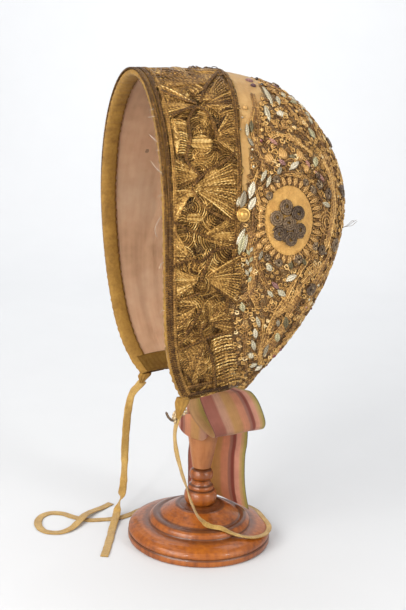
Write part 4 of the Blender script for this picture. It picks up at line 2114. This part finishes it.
TAIL_ROWS = [
    [(-18.4, -6.8, 135.0), (-11.2, 13.8, 136.0)], [(-18.2, -7.0, 123.0), (-11.2, 11.4, 123.4)],
    [(-19.4, -6.2, 110.0), (-9.2, 21.5, 111.0)], [(-20.4, -5.0, 97.0), (-6.8, 30.6, 98.0)],
    [(-20.6, -4.0, 84.0), (-5.3, 38.0, 86.0)], [(-20.0, -4.0, 70.0), (-4.9, 39.0, 72.0)],
    [(-21.0, -4.2, 60.0), (-5.6, 38.2, 60.0)], [(-20.5, -3.7, 46.0), (-5.2, 38.5, 44.0)],
    [(-20.5, -3.4, 36.0), (-4.6, 40.0, 30.0)],
    [(-21.2, -3.2, 29.0), (-16.8, 8.3, 28.9), (-12.4, 19.9, 26.2), (-8.0, 31.5, 21.0), (-3.6, 43.0, 15.4)],
]
FOLD_ROWS = [
    [(-5.6, -19.6, 92.5), (-5.4, -20.2, 101.0)], [(0.6, -18.2, 88.0), (0.8, -18.6, 101.5)],
    [(6.0, -14.6, 85.0), (6.2, -15.0, 102.5)], [(11.2, -10.4, 84.2), (11.8, -10.8, 104.0)],
    [(14.6, -5.0, 84.0), (15.2, -5.0, 106.0)], [(15.8, 0.6, 90.0), (15.6, 0.6, 107.0)],
    [(15.9, 5.0, 96.0), (15.4, 5.0, 107.0)],
]
TIE_LEFT_ROUTE = [
    (63.6, -41.4, 123.0), (62.4, -43.2, 115.6), (59.8, -43.0, 106.0), (56.8, -39.9, 92.0),
    (51.6, -33.8, 75.0), (44.0, -26.0, 57.0), (36.6, -18.6, 41.0), (31.8, -11.0, 29.0), (31.4, -2.6, 22.8),
    (34.4, 5.0, 21.6), (38.0, 14.6, 17.4), (40.6, 25.2, 14.9), (38.6, 34.4, 13.6), (31.8, 43.4, 12.2),
    (20.0, 50.6, 11.8), (4.0, 51.6, 12.6), (-12.0, 52.4, 11.2), (-30.0, 51.0, 7.6), (-46.0, 42.6, 3.4),
    (-57.0, 28.0, 1.4), (-62.4, 8.0, 1.3), (-62.8, -12.0, 1.3), (-57.0, -28.0, 1.3), (-49.0, -41.6, 1.3),
    (-44.4, -53.0, 1.3), (-44.6, -66.0, 1.3), (-46.8, -78.0, 1.3), (-55.0, -87.4, 1.3), (-63.4, -94.6, 1.3),
    (-66.6, -104.2, 1.3), (-60.4, -113.0, 1.3), (-47.6, -117.0, 1.3), (-35.0, -114.4, 1.3),
    (-29.8, -104.8, 1.3), (-32.6, -94.6, 2.0), (-40.6, -86.2, 3.6), (-49.4, -79.6, 4.2), (-58.0, -71.6, 3.0),
    (-66.0, -61.6, 1.5), (-73.6, -51.6, 1.3),
]
TIE_RIGHT_ROUTE = [
    (-37.4, -38.0, 116.8), (-40.6, -40.8, 111.6), (-44.8, -44.6, 104.0), (-46.6, -46.8, 90.0),
    (-47.2, -47.8, 74.0), (-47.6, -48.2, 58.0), (-48.2, -48.0, 42.0), (-49.0, -48.4, 26.0),
    (-50.4, -50.4, 13.0), (-49.8, -52.4, 6.4), (-45.0, -54.4, 4.3), (-36.0, -58.2, 3.0), (-26.0, -62.6, 1.4),
    (-14.0, -67.0, 1.3), (-2.0, -71.8, 1.3), (8.4, -76.0, 1.3), (17.6, -80.0, 1.3),
]


@dataclass
class RibbonStrip:
    """A length of the striped ribbon, lofted through rows of points."""

    name: str
    node: str
    rows: list
    lengthwise: bool = False
    inner_from: Optional[int] = None
    across: int = 28
    between: int = 7
    thickness: float = 0.45 * MM

    def build(self) -> Piece:
        """The ribbon, its map's first coordinate running from selvedge to selvedge."""
        lines = []
        for row in self.rows:
            spots = np.array(row) * MM
            marks = np.linspace(0, len(spots) - 1, self.across + 1)
            lines.append(
                np.stack([np.interp(marks, np.arange(len(spots)), spots[:, k]) for k in range(3)], axis=1)
            )
        grid = smooth_rows(np.array(lines), self.between)
        edge = np.gradient(grid, axis=0)
        width = np.gradient(grid, axis=1)
        normal = unit(np.cross(edge, width))
        v = np.linspace(0.0, 1.0, self.across + 1)
        u = np.arange(len(grid))
        ripple = 0.22 * MM * np.sin(v[None, :] * 9.0 + 0.08 * u[:, None]) * np.sin(math.pi * v)[None, :]
        grid = grid + normal * ripple[..., None]
        run = lengths(grid[:, self.across // 2])
        stripe = np.broadcast_to(v, grid.shape[:2]).copy()
        second = np.broadcast_to(run[:, None], grid.shape[:2])
        if self.lengthwise:
            stripe = np.broadcast_to(1.0 - run[:, None] / run[-1], grid.shape[:2]) * 0.96
        if self.inner_from is not None:
            stripe[self.inner_from * self.between :] = np.minimum(0.90 + 0.22 * v, 0.985)
        flat = np.stack([stripe, second], axis=2)
        shape = grid_shape(grid, flat)
        area = sum(face.calc_area() for face in shape.faces)
        made = from_bmesh(self.name, thicken(shape, self.thickness), RIBBON_SILK)
        settle([made], "ribbon_striped_silk", self.node)
        return made


@dataclass
class TieTape:
    """A tie: a narrow flat tape along its route."""

    name: str
    node: str
    route: list
    hang: Vector
    width: float = 6.0 * MM
    thickness: float = 0.7 * MM
    twist: float = 0.5
    seed: int = 1
    hanging_share: float = 1.0
    wide_from: float = 0.0

    def build(self) -> Piece:
        """The tape, flat on what it lies on and slightly twisted where it hangs."""
        line = smooth_line(np.array(self.route) * MM, 1.6 * MM)
        number = len(line)
        drop = np.where(line[:, 2] < 1.6 * MM, line[:, 2] - (self.thickness / 2 + 0.1 * MM), 0.75 * MM)
        line[:, 2] -= np.where(line[:, 2] < 26 * MM, np.minimum(drop, 0.85 * MM), 0.0)
        run = np.gradient(line, axis=0)
        run /= np.linalg.norm(run, axis=1, keepdims=True)
        travelled = lengths(line)
        lying = np.clip((30 * MM - line[:, 2]) / (16 * MM), 0.0, 1.0)[:, None]
        up = np.tile(np.array([0.0, 0.0, 1.0]), (number, 1))
        turn = self.twist * wave_noise(travelled / (60 * MM), self.seed, 2)
        side = np.cross(np.array(self.hang), np.array([0.0, 0.0, 1.0]))
        hang = np.array(self.hang) * np.cos(turn)[:, None] + side * np.sin(turn)[:, None]
        face = hang * (1 - lying) + up * lying
        across = np.cross(run, face)
        across /= np.linalg.norm(across, axis=1, keepdims=True)
        out = np.cross(across, run)
        over = [(-0.92, 0.5), (-0.5, 0.42), (0.0, 0.36), (0.5, 0.42), (0.92, 0.5)]
        profile = [(-1.0, 0.0), *over, (1.0, 0.0), *((u, -v) for u, v in reversed(over))]
        spread = np.clip((travelled / travelled[-1] - self.wide_from) / 0.08, 0.0, 1.0)
        narrow = 1.0 - 0.10 * np.abs(wave_noise(travelled / (25 * MM), self.seed + 3, 2))
        narrow *= self.hanging_share + (1.0 - self.hanging_share) * spread
        columns = [
            line + across * (u * self.width / 2 * narrow)[:, None] + out * (v * self.thickness)
            for u, v in profile
        ]
        grid = np.stack(columns, axis=1)
        made = rolled(self.name, grid, travelled, 0.6 * MM, TIE_TAPE)
        settle([made], "tie_tape", self.node)
        return made


# Stand

FOOT_OUTLINE = [
    (0.0, 0.0), (53.2, 0.0), (54.6, 0.5), (55.0, 1.4), (55.0, 4.4), (54.6, 5.2), (53.9, 5.7), (54.5, 6.4),
    (54.7, 7.6), (54.2, 9.2), (52.8, 10.6), (50.4, 11.8), (47.4, 12.8), (44.0, 13.5), (41.0, 13.7),
    (39.6, 13.6), (38.9, 14.2), (38.9, 15.4), (38.4, 16.8), (37.0, 18.2), (35.0, 19.2), (33.4, 19.5),
    (32.4, 19.1), (31.8, 18.9), (30.9, 19.3), (29.0, 20.8), (26.0, 22.8), (22.0, 25.0), (18.6, 26.9),
    (17.4, 27.3), (16.4, 27.0), (15.6, 26.9), (14.6, 27.6), (0.0, 27.9),
]
STEM_OUTLINE = [
    (0.0, 28.1), (10.2, 28.1), (11.4, 29.2), (12.3, 31.0), (12.7, 33.6), (12.4, 36.2), (11.6, 38.2),
    (10.2, 39.4), (9.5, 39.7), (9.9, 40.4), (10.0, 41.6), (9.5, 42.7), (8.6, 43.3), (8.1, 43.7), (7.6, 44.8),
    (7.4, 46.2), (7.6, 47.6), (8.1, 48.2), (8.8, 48.8), (9.2, 50.4), (9.1, 52.6), (8.4, 54.4), (7.3, 55.4),
    (6.9, 55.9), (7.2, 57.4), (8.6, 65.6), (11.2, 80.2), (13.0, 91.0), (13.4, 95.0), (13.4, 312.0),
    (0.0, 312.0),
]


@dataclass
class Stand:
    """The turned stand: foot, stem with its post, and the dome inside the coif."""

    steps: int = 96

    def turn(self, name: str, outline: Sequence[Point], finish: Finish) -> Piece:
        """Spin an outline (radius, height in mm) round the upright axis."""
        shape = spun(outline, self.steps)
        bmesh.ops.recalc_face_normals(shape, faces=shape.faces[:])
        return from_bmesh(name, shape, finish, 50.0)

    def build(self) -> list[Piece]:
        """The three pieces of the stand."""
        foot = self.turn("dressed_stand_foot", FOOT_OUTLINE, STAND_VARNISH)
        bulb = [point for point in STEM_OUTLINE if point[1] < 57.0] + [(0.0, 57.0)]
        post = [(0.0, 57.0)] + [point for point in STEM_OUTLINE if point[1] >= 57.0]
        low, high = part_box("stand_head")
        tall, base = (high[2] - low[2]) / MM, low[2] / MM
        head = [(0.0, base), (16.5, base)]
        for k in range(12):
            angle = math.radians(-20.0 + 110.0 * k / 11)
            rise = (math.sin(angle) + math.sin(math.radians(20))) / (1 + math.sin(math.radians(20)))
            head.append((max(30.0 * math.cos(angle), 0.0), base + tall * (0.12 + 0.88 * rise)))
        made = [
            foot,
            self.turn("dressed_stand_bulb", bulb, STAND_VARNISH),
            self.turn("dressed_stand_post", post, STAND_WOOD),
            self.turn("dressed_stand_head", head, STAND_VARNISH),
        ]
        settle(made[:1], "stand_varnish", "stand_foot")
        settle(made[1:3], "stand_bare_wood", "stand_stem")
        settle(made[3:], "stand_varnish", "stand_head")
        return made


def settle(pieces: Iterable[Piece], slot: str, *nodes: str) -> None:
    """Let pieces ride on the body, and stand for CAD nodes.

    Args:
        pieces: The dressed objects.
        slot: The record's material slot that they take.
        nodes: CAD nodes that the first of them replaces.
    """
    for index, piece in enumerate(pieces):
        if index == 0 and nodes:
            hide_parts(*nodes)
        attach(piece, "root")


# The set

@dataclass
class StudioSet:
    """A pale sweep, a big soft key light, a fill and a bright surround."""

    def sweep(self) -> Piece:
        """Floor and wall in one curved sheet, square to the camera."""
        shape = bmesh.new()
        profile = [(-3.6, 0.0), (0.9, 0.0)]
        for k in range(1, 13):
            angle = math.pi / 2 * k / 12
            profile.append((0.9 + 0.9 * math.sin(angle), 0.9 - 0.9 * math.cos(angle)))
        profile.append((1.8, 3.4))
        rows = []
        for y in (-4.2, 4.2):
            rows.append([shape.verts.new((x, y, z - 0.0002)) for x, z in profile])
        for a, b, c, d in zip(rows[0], rows[0][1:], rows[1][1:], rows[1]):
            shape.faces.new((a, b, c, d))
        square = Matrix.Rotation(Lens().azimuth + math.pi / 2, 3, "Z")
        bmesh.ops.rotate(shape, cent=(0, 0, 0), matrix=square, verts=shape.verts[:])
        bmesh.ops.recalc_face_normals(shape, faces=shape.faces[:])
        return from_bmesh("set_sweep", shape, BACKDROP)

    def area(
        self, name: str, where: Sequence[float], aim: Sequence[float], size: float, power: float,
        colour: Colour,
    ) -> None:
        """A square soft light that points at a place."""
        data = bpy.data.lights.new(name, "AREA")
        data.energy = power
        data.size = size
        data.color = colour
        lamp = bpy.data.objects.new(name, data)
        place = Vector(where)
        turn = (Vector(aim) - place).to_track_quat("-Z", "Y").to_matrix().to_4x4()
        lamp.matrix_world = Matrix.Translation(place) @ turn
        bpy.context.scene.collection.objects.link(lamp)

    def build(self) -> None:
        """Put up the sweep and the lights."""
        self.sweep()
        middle = (0.0, 0.0, 0.2)
        self.area("key", (0.40, -1.15, 0.95), middle, 0.9, 11.0, (1.0, 0.975, 0.93))
        self.area("front", (0.80, -1.00, 0.50), middle, 0.7, 9.0, (1.0, 0.965, 0.92))
        self.area("fill", (1.15, 0.85, 0.6), middle, 0.9, 5.5, (1.0, 0.985, 0.96))
        self.area("glint_left", (0.95, -0.75, 0.75), middle, 0.12, 2.4, (1.0, 0.98, 0.95))
        self.area("glint_right", (0.95, 0.55, 0.70), middle, 0.12, 2.2, (1.0, 0.98, 0.95))
        self.area("top", (-0.2, 0.1, 1.7), middle, 1.4, 6.0, (1.0, 0.99, 0.97))
        self.area("wash", (-0.95, 0.35, 1.5), (-1.8, 0.65, 0.5), 1.3, 12.5, (1.0, 1.0, 1.0))
        world = bpy.data.worlds.new("surround")
        world.use_nodes = True
        world.node_tree.nodes["Background"].inputs["Color"].default_value = (1.0, 0.985, 0.96, 1.0)
        world.node_tree.nodes["Background"].inputs["Strength"].default_value = 0.50
        bpy.context.scene.world = world
        bpy.context.scene.view_settings.view_transform = "Standard"


# All of it

def main() -> None:
    """Build the scene and hand it over."""
    logging.basicConfig(level=logging.INFO, format="%(name)s %(message)s")
    lens = Lens()
    lens.build()
    form = CoifForm()
    sight = Sight(form, lens)
    ties = [
        TieTape(
            "dressed_tie_left", "tie_left", TIE_LEFT_ROUTE, Vector((0.35, -0.94, 0.0)), 6.4 * MM, seed=3,
            twist=0.3, hanging_share=0.66, wide_from=0.50,
        ),
        TieTape(
            "dressed_tie_right", "tie_right", TIE_RIGHT_ROUTE, Vector((0.94, -0.34, 0.0)), 6.4 * MM, seed=8,
            twist=0.6,
        ),
    ]
    for tie in ties:
        tie.build()
    Stand().build()
    cloth = CoifCloth(form, lens)
    settle([cloth.lining()], "lining_linen", "lining")
    settle([cloth.gauze()], "lace_gilt_thread", "lace_band")
    settle([cloth.crown()], "crown_silk", "crown_shell")
    bindings = Bindings(form)
    settle([bindings.face_edge()], "binding_silk", "edge_binding")
    settle([bindings.nape()], "binding_silk", "nape_hem")
    settle([bindings.inner_hem(half) for half in Half], "binding_silk")
    settle([bindings.tab(Half.LEFT, TIE_LEFT_ROUTE), bindings.knot(sight)], "tab_silk", "tab_left")
    settle([bindings.tab(Half.RIGHT, TIE_RIGHT_ROUTE)], "tab_silk", "tab_right")
    RibbonStrip("dressed_ribbon_loop", "ribbon_loop", LOOP_ROWS, inner_from=8).build()
    RibbonStrip("dressed_ribbon_fold", "ribbon_fold", FOLD_ROWS, lengthwise=True).build()
    RibbonStrip("dressed_ribbon_tail", "ribbon_tail", TAIL_ROWS).build()
    settle(LaceBand(form, sight).build(), "lace_gilt_thread")
    sewn = Embroidery(form, sight).build()
    for piece in sewn:
        label = "left" if "left" in piece.name else "right"
        if "button" in piece.name:
            settle([piece], "button_gilt", f"button_{label}")
        elif "coils" in piece.name:
            nodes = [f"spangle_{label}_{k}" for k in range(7)] + [f"knot_{label}_{k}" for k in range(1, 6)]
            settle([piece], "spangle_oxidised", *nodes)
        else:
            settle([piece], "crown_silk")
    StudioSet().build()


if __name__ == "__main__":
    main()
